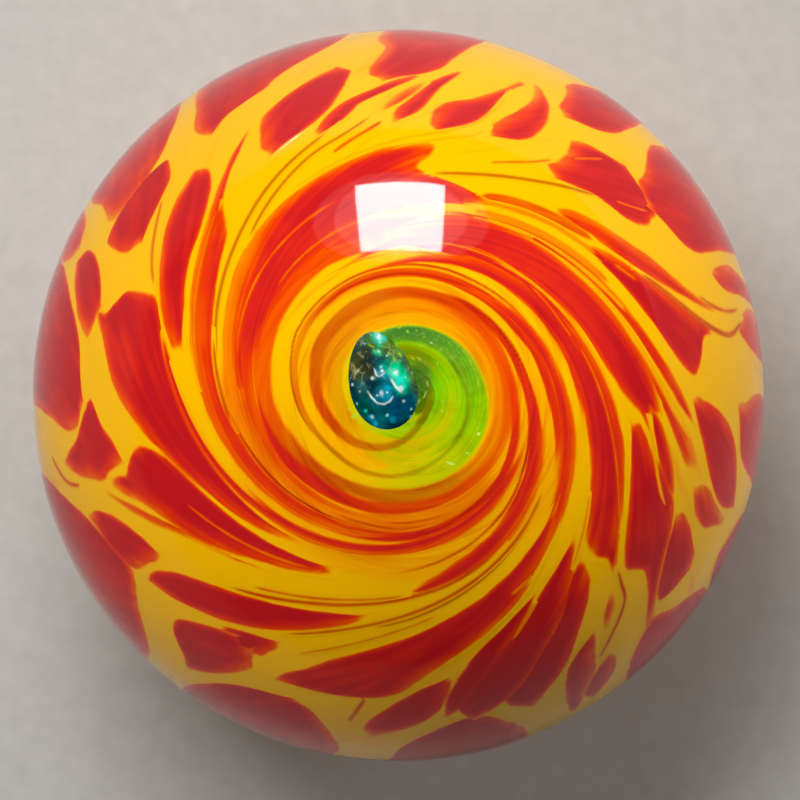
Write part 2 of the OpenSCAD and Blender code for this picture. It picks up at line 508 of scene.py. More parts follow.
@dataclass(frozen=True)
class FritGlass(GroundGlass):
    """Red glass melted into the yellow: its outline wanders a little, and orange shows where it is thin."""

    margin: float = 0.22
    crisp: float = 0.2
    wander: float = 0.16

    def material(self) -> bpy.types.Material:
        """Makes the frit's material."""
        recipe = Recipe(self.name)
        vector, _ = self.flow(recipe)
        across, width, own = recipe.read("lay", parts=True)
        under, umber, green = recipe.read("melt", parts=True)
        aside = recipe.math("ABSOLUTE", recipe.math("SUBTRACT", across, 0.5))
        edge = recipe.times(recipe.math("SUBTRACT", 0.5, aside), width)
        ripple = recipe.noise(recipe.place(), 900.0, 2.0)
        edge = recipe.math("SUBTRACT", edge, recipe.times(ripple, self.wander))
        first = self.margin - (self.crisp + self.wander) / 2.0
        cover = recipe.rise(edge, first, first + self.crisp)
        threads = recipe.noise(vector, 16.0, 3.0, 0.55)
        cloud = recipe.noise(recipe.place(), 170.0, 3.0, 0.6)
        uneven = recipe.math(
            "ADD",
            recipe.rise(threads, 0.32, 0.68, -self.streak, self.streak),
            recipe.rise(cloud, 0.35, 0.65, -self.blotch, self.blotch),
        )
        body = recipe.times(uneven, recipe.rise(own, 0.1, 0.6))
        own = recipe.math("ADD", own, body, clamp=True)
        ground, umber = self.drawn(recipe, under, umber)
        total = recipe.add("ShaderNodeMix", {0: cover, 2: ground, 3: own}, data_type="FLOAT").outputs[0]
        self.shade(recipe, total, umber, green)
        return recipe.material


# ---------- patches of glass

# A chip's grid: millimetres between its rows, between those of a chip that melts into the
# windings, and of width for every two columns more
ROW_PACE = 0.45
MELT_PACE = 0.2
COLUMN_PACE = 1.4


def spline(knots: Array, count: int) -> Array:
    """Draws a smooth line through knots.

    Between two knots it is the cubic that starts and ends with the slopes of the lines that join
    each knot's two neighbours, so it passes through every knot.

    Args:
        knots: One row for each knot.
        count: How many points to give.

    Returns:
        The points, one row each, evenly spaced by knot number.
    """
    step = np.linspace(0.0, len(knots) - 1.0, count)
    low = np.minimum(step.astype(int), len(knots) - 2)
    share = (step - low)[:, None]
    slope = np.gradient(knots, axis=0)
    start, stop = knots[low], knots[low + 1]
    first, last = slope[low], slope[low + 1]
    square, cube = share**2, share**3
    return (
        start * (2 * cube - 3 * square + 1)
        + first * (cube - 2 * square + share)
        + stop * (3 * square - 2 * cube)
        + last * (cube - square)
    )


@dataclass(frozen=True)
class Fade:
    """How red thins out towards one side or end: what share is left there, and over what width it fades."""

    left: float
    width: float

    def share(self, distance: Array) -> Array:
        """Gives the share of the red that is left at a distance from that side, in millimetres."""
        return self.left + (1.0 - self.left) * smooth(distance, 0.0, self.width)


@dataclass(frozen=True)
class Chip:
    """One piece of frit as it lay before the swirl.

    Its rows give a colatitude and the longitudes of its two sides. The near side is the one that
    it was dragged from. It thins out towards its sides and ends, faster where it is narrow, and
    over its melt, in millimetres, its inner end goes over into the windings.
    """

    rows: tuple[tuple[float, float, float], ...]
    tone: float = 1.0
    near: Fade = Fade(0.62, 0.4)
    far: Fade = Fade(0.48, 0.9)
    inner: Fade = Fade(0.55, 1.1)
    outer: Fade = Fade(0.5, 1.5)
    melt: float = 0.0

    def sides(self, grow: float = 0.0, count: int = 241) -> Array:
        """Draws its two sides as smooth lines that come together in a round tip at each end.

        The lines pass through the rows and go on a little past the first and last. Within a tip,
        half the width is that of the lines times the height of a quarter circle.

        Args:
            grow: How much larger it is all round, in millimetres.
            count: How many points to give.

        Returns:
            Colatitude, near longitude and far longitude, in rows of three.
        """
        knots = np.array(self.rows, float)
        degree = BALL.radius * math.radians(1.0)
        first, last = ((end[2] - end[1]) * math.sin(math.radians(end[0])) for end in (knots[0], knots[-1]))
        head, tail = 0.3 * first + grow / degree, 0.3 * last + grow / degree
        start = knots[0] - (knots[1] - knots[0]) * head / (knots[1, 0] - knots[0, 0])
        stop = knots[-1] + (knots[-1] - knots[-2]) * tail / (knots[-1, 0] - knots[-2, 0])
        line = spline(np.concatenate([[start], knots, [stop]]), count)
        line = line[np.argsort(line[:, 0])]
        tip_in = np.clip((line[:, 0] - line[0, 0]) / (head + 0.35 * first + 0.3), 0.0, 1.0)
        tip_out = np.clip((line[-1, 0] - line[:, 0]) / (tail + 0.35 * last + 0.3), 0.0, 1.0)
        round_tip = np.sqrt(1.0 - (1.0 - tip_in) ** 2) * np.sqrt(1.0 - (1.0 - tip_out) ** 2)
        middle = (line[:, 1] + line[:, 2]) / 2.0
        half = np.maximum((line[:, 2] - line[:, 1]) / 2.0, 0.05) * round_tip + grow / BALL.across(line[:, 0])
        return np.stack([line[:, 0], middle - half, middle + half], axis=-1)

    def depth(self, lon: Array, colat: Array) -> tuple[Array, Array, Array]:
        """Gives the depth of its red at points of the ball.

        It is the tone times what each side and each end leaves of it. Distances to the sides are
        measured square to the dragged glass, and those to the ends along it.

        Args:
            lon: Longitudes after the drag.
            colat: Colatitudes.

        Returns:
            Depths from 0 to 1, the distance to its nearest side or end, which is negative outside
            it, and how far it has gone over into the windings.
        """
        line = self.sides()
        near_lon = np.interp(colat, line[:, 0], line[:, 1])
        far_lon = np.interp(colat, line[:, 0], line[:, 2])
        scale = BALL.across(colat)
        degree = BALL.radius * math.radians(1.0)
        slant = scale / (degree * np.sin(np.radians(colat)))
        aside = (lon - BALL.drag(colat) - (near_lon + far_lon) / 2.0 + 180.0) % 360.0 - 180.0
        half = (far_lon - near_lon) / 2.0
        near, far = (half + aside) * scale, (half - aside) * scale
        steep = np.maximum(1.0, 1.2 / np.maximum(near + far, 0.3))
        inner = (colat - line[0, 0]) * degree / slant
        outer = (line[-1, 0] - colat) * degree / slant
        depth = self.tone * self.near.share(near * steep) * self.far.share(far * steep)
        depth = depth * self.inner.share(inner) * self.outer.share(outer)
        inside = np.minimum(np.minimum(near, far), np.minimum(inner, outer))
        over = 1.0 - smooth(inner, 0.1 * self.melt, self.melt) if self.melt else np.zeros(depth.shape)
        return depth, inside, over

    def red(self, lon: Array, colat: Array) -> Array:
        """Gives the depth of its red, and none outside it or where it has gone over into the windings."""
        depth, inside, over = self.depth(lon, colat)
        return depth * smooth(inside, 0.0, 0.2) * (1.0 - over)

    def grid(self, grow: float) -> tuple[Array, ...]:
        """Lays a grid over it: rows at equal colatitude, closer together near its ends and sides.

        Rows are spaced by whichever of its sides and its middle line goes furthest between them.

        Args:
            grow: How much larger the grid is all round, in millimetres.

        Returns:
            Longitudes after the drag, colatitudes, the share across the grid from 0 to 1, and how
            wide the grid is there, in millimetres.
        """
        line = self.sides(grow, 801)
        traced = [line[:, 1], (line[:, 1] + line[:, 2]) / 2.0, line[:, 2]]
        traced = [BALL.points(track + BALL.drag(line[:, 0]), line[:, 0]) for track in traced]
        paces = np.linalg.norm(np.diff(traced, axis=1), axis=-1).max(axis=0)
        run = np.concatenate([[0.0], np.cumsum(paces)])
        width = BALL.radius * np.radians(line[:, 2] - line[:, 1]) * np.sin(np.radians(line[:, 0]))
        rows = 12 + math.ceil(run[-1] / (MELT_PACE if self.melt else ROW_PACE))
        columns = 9 + 2 * math.ceil(width.max() / COLUMN_PACE)
        pace = (1.0 - np.cos(np.linspace(0.0, math.pi, rows))) / 2.0
        pace = 0.6 * pace + 0.4 * np.linspace(0.0, 1.0, rows)
        picked = np.stack([np.interp(pace * run[-1], run, line[:, i]) for i in range(3)], axis=-1)
        across = (1.0 + np.sin(np.linspace(-0.5, 0.5, columns) * math.pi)) / 2.0
        lon = picked[:, 1:2] + across[None] * (picked[:, 2:3] - picked[:, 1:2])
        colat = np.broadcast_to(picked[:, :1], lon.shape)
        wide = (picked[:, 2:3] - picked[:, 1:2]) * BALL.across(colat)
        wide[[0, -1]] = 0.0
        return lon + BALL.drag(colat), colat, np.broadcast_to(across, lon.shape), wide

    def glass(self, lon: Array, colat: Array) -> tuple[Array, Array, Array]:
        """Gives its red, its umber, of which it has none, and how far it has gone over into the windings."""
        depth, _, over = self.depth(lon, colat)
        return depth, np.zeros(depth.shape), over


@dataclass(frozen=True)
class Thread:
    """A thin thread along the swirl, through places given as longitude before the drag and colatitude."""

    knots: tuple[tuple[float, float], ...]
    width: float
    tint: Tint
    taper: float = 0.25

    def path(self, count: int) -> Array:
        """Gives points along its middle: longitude after the drag, and colatitude."""
        line = spline(np.array(self.knots, float), count)
        line[:, 0] += BALL.drag(line[:, 1])
        return line

    def half(self, share: Array) -> Array:
        """Gives half its width at a share of its length: full but for its two tapering ends."""
        ends = np.minimum(share, 1.0 - share) / self.taper
        return self.width / 2.0 * np.sqrt(np.clip(ends, 0.02, 1.0))

    def grid(self, grow: float) -> tuple[Array, ...]:
        """Lays a grid along it, square to its path on the ball.

        Args:
            grow: How much wider the grid is on each side, in millimetres.

        Returns:
            What a chip's grid gives.
        """
        line = self.path(801)
        middle = BALL.points(line[:, 0], line[:, 1])
        run = np.concatenate([[0.0], np.cumsum(np.linalg.norm(np.diff(middle, axis=0), axis=1))])
        rows = 8 + math.ceil(run[-1] / 0.4)
        share = np.linspace(0.0, 1.0, rows)
        middle = np.stack([np.interp(share * run[-1], run, middle[:, i]) for i in range(3)], axis=-1)
        ahead = np.gradient(middle, axis=0)
        aside = np.cross(middle, ahead)
        aside /= np.linalg.norm(aside, axis=1, keepdims=True)
        half = self.half(share)[:, None]
        steps = np.concatenate([-(half + grow), -(half + 0.35 * grow), -half, -0.5 * half], axis=1)
        reach = np.concatenate([steps, 0.0 * half, -steps[:, ::-1]], axis=1)
        points = middle[:, None] + reach[..., None] * aside[:, None]
        lon = np.degrees(np.arctan2(points[..., 1], points[..., 0]))
        colat = np.degrees(np.arccos(points[..., 2] / np.linalg.norm(points, axis=-1)))
        wide = np.broadcast_to(2.0 * (half + grow), lon.shape)
        across = 0.5 + reach / wide
        ends = np.minimum(share, 1.0 - share)[:, None]
        return lon, colat, across, wide * smooth(ends, 0.0, 0.5 * self.taper)

    def glass(self, lon: Array, colat: Array) -> tuple[Array, Array, Array]:
        """Gives the red and the umber of its tint, and says that it goes over into nothing."""
        none = np.zeros(np.shape(lon))
        red, umber = self.tint.value
        return none + red, none + umber, none

    def red(self, lon: Array, colat: Array) -> Array:
        """Gives no depth: a thread is too thin to show beside another piece."""
        return np.zeros(np.shape(lon))


@dataclass(frozen=True)
class Streak:
    """A broad amber streak wound straight round the pole, from where it starts to where it fades out."""

    start: tuple[float, float]
    stop: tuple[float, float]
    breadth: float

    def grid(self, grow: float) -> tuple[Array, ...]:
        """Lays a grid along it and across it.

        Longitude and colatitude go evenly from start to stop, and half the breadth falls off as the
        square root of what is left of its length.

        Args:
            grow: How much wider the grid is on each side, in millimetres.

        Returns:
            What a chip's grid gives, with no width, because none of it is red of its own.
        """
        rows = math.ceil((self.stop[0] - self.start[0]) / 2.5)
        along = np.linspace(0.0, 1.0, rows)[:, None]
        side = np.linspace(1.0, -1.0, 13)[None, :]
        lon = self.start[0] + along * (self.stop[0] - self.start[0]) + 0.0 * side
        half = self.breadth / 2.0 * np.sqrt(np.maximum(1.0 - along, 0.002))
        spare = grow / (BALL.radius * math.radians(1.0))
        colat = self.start[1] + along * (self.stop[1] - self.start[1]) + side * (half + spare)
        return lon, colat, np.zeros(lon.shape), np.zeros(lon.shape)

    def glass(self, lon: Array, colat: Array) -> tuple[Array, Array, Array]:
        """Says that it has no red and no umber of its own: it shows what the windings lay down."""
        none = np.zeros(np.shape(lon))
        return none, none, none

    def red(self, lon: Array, colat: Array) -> Array:
        """Gives no depth of its own."""
        return np.zeros(np.shape(lon))


Patch = Chip | Thread | Streak


@dataclass
class Inlay:
    """All the patches of one glass: closed slabs as deep as that glass went, laid in the ball's surface.

    Each stands proud by a few hundredths of a millimetre: patches take turns on three steps, threads
    are lifted above the rest, and chips rise to a crown within their crest.
    """

    node: str
    slot: str
    name: str
    look: FritGlass
    patches: tuple[Patch, ...]
    deep: float
    proud: float
    step: float = 0.006
    crown: float = 0.016
    crest: float = 1.2
    tuck: float = 0.02
    lift: float = 0.044
    beside: list = field(default_factory=list)

    def under(self, lon: Array, colat: Array, patch: Patch, depth: Array) -> Array:
        """Gives the depth of red under and beside one patch.

        Args:
            lon: Longitudes after the drag.
            colat: Colatitudes.
            patch: The patch that is left out.
            depth: What the windings lay down there.

        Returns:
            Depths from 0 to 1.
        """
        for inlay in self.beside:
            for other in inlay.patches:
                if other is not patch:
                    depth = np.maximum(depth, other.red(lon, colat))
        return depth

    def build(self) -> bpy.types.Object:
        """Builds and dresses the piece.

        The outermost points of each patch are tucked just under the ball's surface, so that no
        step shows round it. A chip is crowned by a few hundredths of a millimetre, and where two
        overlap, the one whose side is further away lies over the other.

        Returns:
            The finished piece, which stands for its node.
        """
        skin = Skin(self.name)
        for number, patch in enumerate(self.patches):
            lon, colat, across, wide = patch.grid(self.look.margin)
            proud = np.full(lon.shape, self.proud)
            if not isinstance(patch, Streak):
                proud += self.step * (number % 3)
            if isinstance(patch, Thread):
                proud += self.lift
            if isinstance(patch, Chip):
                proud += self.crown * smooth(patch.depth(lon, colat)[1], 0.0, self.crest)
            proud[[0, -1], :] = -self.tuck
            proud[:, [0, -1]] = -self.tuck
            top = BALL.points(lon, colat, proud).reshape(-1, 3)
            bottom = BALL.points(lon, colat, -self.deep).reshape(-1, 3)
            red, umber, over = patch.glass(lon, colat)
            melt = RING.melt(lon, colat)
            red = red + over * (melt[..., 0] - red)
            melt[..., 0] = self.under(lon, colat, patch, melt[..., 0])
            edge = (0.5 - np.abs(across - 0.5)) * wide - self.look.margin
            own = smooth(edge, -0.12, 0.03) * (1.0 - over)
            melt[..., 1] += own * (umber - melt[..., 1])
            melt[..., 2] *= 1.0 - own
            lay = np.stack([across, wide, red], axis=-1).reshape(-1, 3)
            values = {"lay": np.tile(lay, (2, 1)), "melt": np.tile(melt.reshape(-1, 3), (2, 1))}
            skin.add(np.concatenate([top, bottom]), sheet_faces(*lon.shape), values)
        piece = skin.finish()
        piece.data.materials.append(self.look.material())
        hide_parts(self.node)
        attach(piece, "root")
        return piece


# ---------- the ring round the eye


@dataclass(frozen=True)
class Winding:
    """One turn of colour wound round the pole.

    Its rows give a longitude, which goes on counting past 360, a colatitude, half its width, both
    in degrees, and how much red, umber and green glass lies there, from 0 to 1. A row may leave
    out the umber and the green.
    """

    rows: tuple[tuple[float, ...], ...]
    inner: float = 0.3
    outer: float = 0.4
    fade: float = 20.0

    def paint(self, lon: Array, colat: Array, melt: Array) -> Array:
        """Lays it over what is there.

        Every turn of it is tried. Within half its width it hides what is below, and it fades
        over its inner and outer softness and at both of its ends.

        Args:
            lon: Longitudes.
            colat: Colatitudes.
            melt: Red, umber and green along the last axis.

        Returns:
            The same with this winding over it.
        """
        rows = np.array([[*row, 0.0, 0.0][:6] for row in self.rows], float)
        first, last = rows[0, 0], rows[-1, 0]
        start = first + (lon - first) % 360.0
        for turn in range(math.ceil((last - first) / 360.0)):
            along = start + 360.0 * turn
            near = np.abs(colat - np.interp(along, rows[:, 0], rows[:, 1])) < 6.0
            if not near.any():
                continue
            place = along[near]
            middle, half = (np.interp(place, rows[:, 0], rows[:, i]) for i in (1, 2))
            off = colat[near] - middle
            side = np.where(off > 0.0, self.outer, self.inner)
            share = 1.0 - smooth((np.abs(off) - half) / side, 0.0, 1.0)
            share = share * smooth(place, first, first + self.fade)
            share = share * (1.0 - smooth(place, last - self.fade, last)) * (place < last)
            own = np.stack([np.interp(place, rows[:, 0], rows[:, i]) for i in (3, 4, 5)], axis=-1)
            melt[near] += share[..., None] * (own - melt[near])
        return melt


@dataclass(frozen=True)
class Ring:
    """All the windings between the eye and the arms, in the order in which they lie over each other."""

    windings: tuple[Winding, ...]
    base: float = 0.12
    inside: float = 28.0
    outside: float = 31.5

    def melt(self, lon: Array, colat: Array) -> Array:
        """Gives the red, umber and green that all windings lay down together.

        Args:
            lon: Longitudes.
            colat: Colatitudes.

        Returns:
            The three along the last axis, each from 0 to 1.
        """
        lon, colat = np.broadcast_arrays(np.asarray(lon, float), np.asarray(colat, float))
        melt = np.zeros((*lon.shape, 3))
        melt[..., 0] = self.base
        for winding in self.windings:
            melt = winding.paint(lon, colat, melt)
        return melt * (1.0 - smooth(colat, self.inside, self.outside))[..., None]


RING = Ring((
    # golden glass round the veil, and the orange wash inside the broad turn
    Winding((
        (110, 13.2, 1, 0.1, 0.35), (140, 12.4, 1.1, 0.08, 0.4), (160, 11.4, 1.2, 0.06, 0.45, 0.02),
        (180, 10.4, 1.1, 0.04, 0.45, 0.04), (200, 9.6, 1, 0.03, 0.45, 0.08),
        (220, 8.6, 0.9, 0.02, 0.4, 0.12), (240, 10.2, 0.7, 0.02, 0.35, 0.1),
        (260, 9.2, 0.8, 0.02, 0.35, 0.14),
    ), 1.5, 0.8),
    Winding((
        (-20, 14.3, 0.5, 0.14, 0.3), (20, 13.3, 0.5, 0.12, 0.2), (60, 12.6, 0.6, 0.1, 0.2),
        (100, 12.7, 0.8, 0.1, 0.25), (130, 12.6, 0.8, 0.1, 0.28),
    ), 1.0, 0.8),
    Winding((
        (240, 16.6, 1.2, 0.3, 0.6), (270, 16.2, 1, 0.3, 0.55), (300, 15.9, 0.9, 0.26, 0.35),
        (330, 15.8, 0.9, 0.26, 0.15), (360, 15.4, 0.9, 0.28, 0.05), (390, 14.9, 0.9, 0.24, 0.05),
        (420, 15, 0.8, 0.24, 0.1), (450, 14.9, 0.8, 0.22, 0.15), (480, 14.8, 0.8, 0.2, 0.35),
        (510, 13.8, 0.7, 0.18, 0.35), (530, 12.6, 0.6, 0.18, 0.3), (540, 12, 0.6, 0.18, 0.25),
    ), 1.2, 1.0),
    # orange washes outside the turns, under and between the arms
    Winding((
        (60, 28.2, 1.4, 0.4, 0.05), (85, 28.6, 1.9, 0.52, 0.05), (110, 28.6, 2, 0.56),
        (135, 28.2, 1.9, 0.6), (160, 28, 1.5, 0.6), (185, 27.6, 1.4, 0.36, 0.1), (205, 27.2, 1, 0.3, 0.1),
    ), 0.6, 1.4),
    Winding((
        (165, 29.5, 1.2, 0.34, 0.05), (175, 28.4, 1.3, 0.3, 0.05), (190, 26.8, 1.5, 0.28, 0.05),
        (210, 24.4, 1.5, 0.28, 0.1), (230, 22.4, 1.4, 0.28, 0.1), (260, 20.3, 1.3, 0.28, 0.1),
        (300, 19.2, 1.1, 0.26, 0.1), (330, 18.2, 0.8, 0.2, 0.1),
    ), 0.6, 0.6),
    Winding((
        (-12, 30.5, 1.4, 0.7), (5, 29, 1.6, 0.74), (20, 28.2, 2.1, 0.78), (30, 27.7, 2.4, 0.78),
        (40, 27.2, 2.5, 0.78, 0.05), (60, 26.8, 2.6, 0.78, 0.05), (80, 26.6, 2.7, 0.76),
        (100, 27.2, 2.4, 0.74), (120, 27.5, 2.3, 0.66), (145, 27.2, 1.8, 0.58),
    ), 0.25, 1.0),
    Winding((
        (200, 7.6, 1.2, 0, 0.1, 0.1), (230, 7.6, 2, 0, 0.15, 0.2), (260, 7.8, 2.6, 0, 0.2, 0.3),
        (290, 8.2, 3, 0, 0.2, 0.38), (320, 8.2, 3, 0, 0.15, 0.5), (350, 8, 3, 0, 0.1, 0.6),
        (380, 7.8, 3, 0, 0.1, 0.66),
    ), 1.5, 1.5),
    # clean yellow, then orange-yellow, between the turns
    Winding((
        (-20, 30, 0.7, 0), (0, 26.8, 0.7, 0), (15, 24.9, 0.6, 0), (30, 23.5, 0.5, 0), (45, 22.8, 0.5, 0),
        (60, 22.4, 0.6, 0), (90, 22.1, 0.6, 0), (105, 22.4, 1.2, 0), (120, 22.6, 1.5, 0),
        (135, 22.2, 1.4, 0), (150, 21.4, 1.2, 0), (165, 20.4, 1.2, 0), (180, 19, 1.3, 0, 0.05, 0.04),
        (190, 17.9, 1.2, 0, 0.05, 0.05), (200, 16.9, 1, 0, 0.05, 0.06), (210, 16, 1, 0, 0.05, 0.08),
        (220, 15.2, 0.9, 0, 0.05, 0.1), (230, 14.7, 0.8, 0, 0, 0.12), (240, 14.2, 0.7, 0, 0, 0.15),
    ), 0.6, 0.6),
    Winding((
        (0, 21.8, 0.4, 0.08), (30, 19.5, 0.4, 0.08), (60, 18.5, 0.45, 0.08), (90, 18.2, 0.5, 0.08),
        (120, 18.1, 0.5, 0.08), (150, 17.5, 0.5, 0.08), (180, 15.5, 0.45, 0.08),
        (200, 14, 0.4, 0.08, 0.05), (220, 12.7, 0.4, 0.08, 0.05), (240, 11.8, 0.4, 0.05, 0.05, 0.05),
        (260, 10.8, 0.4, 0.03, 0.05, 0.12),
    ), 0.4, 0.4),
    # the green tail, which widens into the veil, and the green beside the foil
    Winding((
        (215, 15.8, 0.6, 0, 0.1, 0.06), (230, 14.7, 0.8, 0, 0.05, 0.12), (245, 13.9, 1.2, 0, 0, 0.18),
        (260, 12.8, 1.6, 0, 0, 0.25), (280, 11.8, 2.2, 0, 0, 0.33), (300, 11, 2.6, 0, 0, 0.42),
        (320, 10.7, 2.6, 0, 0, 0.52), (340, 10.3, 2.5, 0, 0, 0.62), (360, 9.8, 2.4, 0, 0, 0.68),
        (380, 9.4, 2.2, 0, 0, 0.7), (400, 9.1, 2.1, 0, 0, 0.72), (430, 8.8, 1.9, 0, 0, 0.74),
        (460, 8.5, 1.9, 0, 0, 0.76), (490, 8.3, 1.8, 0, 0, 0.76), (520, 8.3, 0.8, 0, 0, 0.4),
    ), 0.8, 1.3),
    Winding((
        (120, 11.2, 0.3, 0.03, 0, 0.3), (150, 10.2, 0.4, 0.03, 0, 0.25), (180, 8.7, 0.4, 0.03, 0, 0.25),
        (200, 7.9, 0.4, 0, 0, 0.3), (225, 6.8, 0.5, 0, 0, 0.42), (240, 6.1, 0.6, 0, 0, 0.52),
        (255, 5.6, 0.6, 0, 0, 0.6), (270, 5, 0.8, 0, 0, 0.6), (300, 4.2, 1.2, 0, 0.1, 0.55),
        (330, 5, 1.6, 0, 0.1, 0.6), (360, 5.2, 1.6, 0, 0, 0.7), (390, 5, 1.6, 0, 0, 0.72),
        (420, 5, 1.8, 0, 0.1, 0.75), (460, 5.5, 2, 0, 0.15, 0.8), (500, 5.5, 2, 0, 0.15, 0.8),
    ), 3.0, 0.6),
    Winding((
        (265, 8.9, 0.5, 0.04, 0.2, 0.15), (280, 8, 0.7, 0.02, 0.2, 0.28), (300, 7.2, 0.8, 0, 0.15, 0.38),
        (330, 7, 0.7, 0, 0.1, 0.48), (360, 7, 0.5, 0, 0.05, 0.55), (380, 6.9, 0.4, 0, 0, 0.6),
    ), 0.7, 0.7),
    Winding((
        (290, 1.8, 0.8, 0, 0.7, 0.8), (330, 2.2, 1, 0, 0.8, 0.85), (360, 2.5, 1, 0, 0.9, 0.9),
        (390, 2.7, 1.1, 0, 1, 1), (420, 3, 1.2, 0, 1, 1), (460, 3.4, 1.2, 0, 0.9, 1),
    ), 3.0, 0.8),
    Winding((
        (400, 6.2, 0.4, 0, 0.25, 0.68), (425, 6.6, 0.7, 0, 0.35, 0.64), (450, 6.9, 0.9, 0, 0.35, 0.66),
        (480, 7, 0.9, 0, 0.35, 0.7),
    ), 0.6, 0.6),
    # the arm that runs out into brown round the lower left
    Winding((
        (90, 24.8, 0.7, 0.5), (120, 25.6, 0.9, 0.5), (150, 24.4, 0.9, 0.5), (165, 23.4, 1, 0.46),
        (180, 22.5, 1.1, 0.42, 0.05), (190, 21.3, 1, 0.4, 0.15), (200, 19.9, 0.9, 0.36, 0.35),
        (210, 18.9, 0.8, 0.34, 0.55), (220, 18, 0.7, 0.32, 0.6), (230, 17.2, 0.7, 0.3, 0.65),
        (240, 16.5, 0.7, 0.28, 0.7), (260, 15.6, 0.6, 0.2, 0.8), (280, 15.1, 0.5, 0.16, 0.8),
        (300, 15, 0.45, 0.16, 0.7), (320, 15, 0.4, 0.16, 0.5),
    ), 0.8, 0.8),
    # the broad dark-orange turn, from the arm on the left to a thin olive line beside the foil
    Winding((
        (150, 29.3, 1, 0.76), (165, 27, 0.9, 0.76), (175, 25.35, 0.85, 0.76), (185, 24.1, 0.8, 0.8, 0.05),
        (195, 22.8, 0.65, 0.8, 0.1), (205, 21.6, 0.68, 0.76, 0.1), (215, 20.4, 0.75, 0.74, 0.1),
        (225, 19.6, 0.7, 0.72, 0.1), (235, 19, 0.65, 0.68, 0.15), (245, 18.5, 0.55, 0.62, 0.2),
        (260, 17.9, 0.55, 0.54, 0.25), (275, 17.5, 0.5, 0.5, 0.25), (290, 17.2, 0.4, 0.5, 0.2),
        (305, 17, 0.4, 0.46, 0.15), (330, 16.8, 0.5, 0.36, 0.1), (345, 16.6, 0.6, 0.44, 0.05),
        (360, 16.5, 0.7, 0.5, 0.05), (390, 16.2, 0.7, 0.46, 0.05), (420, 16.4, 0.6, 0.46, 0.3),
        (450, 16.6, 0.6, 0.42, 0.5), (480, 16.3, 0.8, 0.28, 0.6), (510, 15.6, 0.8, 0.28, 0.6),
        (530, 14.4, 0.6, 0.36, 0.55), (540, 13.8, 0.5, 0.42, 0.5), (560, 12.1, 0.5, 0.38, 0.6),
        (580, 10.8, 0.4, 0.24, 0.7), (600, 9.1, 0.35, 0.12, 0.8, 0.05), (620, 7.4, 0.3, 0.04, 0.85, 0.25),
        (640, 5.7, 0.3, 0, 0.85, 0.42), (660, 4.6, 0.25, 0, 0.85, 0.55), (690, 3.9, 0.22, 0, 0.9, 0.66),
        (720, 4, 0.2, 0, 0.8, 0.7), (780, 4.2, 0.15, 0, 0.5, 0.8),
    ), 0.9, 0.5),
    Winding((
        (155, 29.6, 0.4, 0.6), (175, 26.95, 0.42, 0.58), (185, 25.75, 0.4, 0.58, 0.05),
        (195, 24.55, 0.38, 0.52, 0.1), (205, 23.4, 0.36, 0.48, 0.15), (215, 22.35, 0.32, 0.46, 0.15),
        (225, 21.2, 0.3, 0.44, 0.15), (240, 20.5, 0.25, 0.42, 0.15), (260, 19.9, 0.2, 0.4, 0.1),
    ), 0.3, 0.3),
    # the red turn that runs into it from the lower left
    Winding((
        (178, 30.6, 0.8, 0.8, 0.1), (190, 29, 0.75, 0.84, 0.15), (205, 27, 0.6, 0.86, 0.15),
        (215, 25.7, 0.62, 0.86, 0.15), (225, 24.6, 0.6, 0.84, 0.15), (235, 23.7, 0.6, 0.82, 0.15),
        (245, 23.05, 0.55, 0.82, 0.12), (260, 22.35, 0.48, 0.78, 0.1), (275, 21.8, 0.44, 0.74, 0.1),
        (290, 21.1, 0.4, 0.64, 0.1), (305, 20.5, 0.42, 0.62, 0.12), (320, 19.75, 0.42, 0.7, 0.1),
        (335, 18.6, 0.42, 0.66, 0.05), (350, 17.5, 0.38, 0.64), (360, 16.9, 0.4, 0.6),
        (380, 16.7, 0.3, 0.6, 0.05),
    ), 0.25, 0.8),
    Winding((
        (205, 30.4, 0.6, 0.76, 0.1), (225, 28.2, 0.5, 0.76, 0.1), (235, 27.1, 0.55, 0.8, 0.1),
        (245, 25.9, 0.55, 0.8, 0.1), (260, 24.75, 0.48, 0.76, 0.1), (275, 23.85, 0.4, 0.74, 0.1),
        (290, 23.1, 0.32, 0.68, 0.1), (305, 22.2, 0.28, 0.56, 0.1), (320, 21.1, 0.2, 0.44, 0.1),
        (332, 20.2, 0.15, 0.36, 0.1),
    ), 0.3, 0.8),
    # the two red turns on the right
    Winding((
        (300, 27.2, 0.9, 0.8, 0.1), (315, 25.2, 1, 0.78, 0.05), (330, 23.4, 1, 0.78),
        (340, 22.1, 0.9, 0.76), (350, 20.8, 0.75, 0.72), (360, 19.7, 0.65, 0.7),
        (370, 18.9, 0.55, 0.66, 0.05), (380, 18.4, 0.5, 0.64, 0.1), (390, 18, 0.45, 0.62, 0.15),
        (405, 17.6, 0.35, 0.6, 0.25), (420, 17.4, 0.25, 0.58, 0.3), (435, 17.3, 0.2, 0.55, 0.3),
    ), 0.35, 0.45),
    Winding((
        (330, 28.5, 0.9, 0.7), (340, 26.7, 0.9, 0.7), (350, 25.1, 0.9, 0.68), (360, 23.6, 0.8, 0.68, 0.1),
        (370, 22.6, 0.7, 0.68, 0.2), (380, 21.9, 0.6, 0.66, 0.25), (390, 21, 0.7, 0.66, 0.25),
        (405, 20.4, 0.7, 0.6, 0.25), (420, 19.9, 0.65, 0.58, 0.3), (435, 19.8, 0.6, 0.5, 0.25),
        (450, 19.7, 0.55, 0.46, 0.3), (480, 19.6, 0.4, 0.4, 0.35), (500, 19.2, 0.35, 0.3, 0.35),
        (510, 18.9, 0.35, 0.26, 0.3), (520, 18.4, 0.35, 0.24, 0.3), (530, 17.6, 0.3, 0.24, 0.35),
        (540, 16.8, 0.25, 0.3, 0.3), (550, 15.9, 0.25, 0.25, 0.4), (560, 15.1, 0.2, 0.2, 0.6),
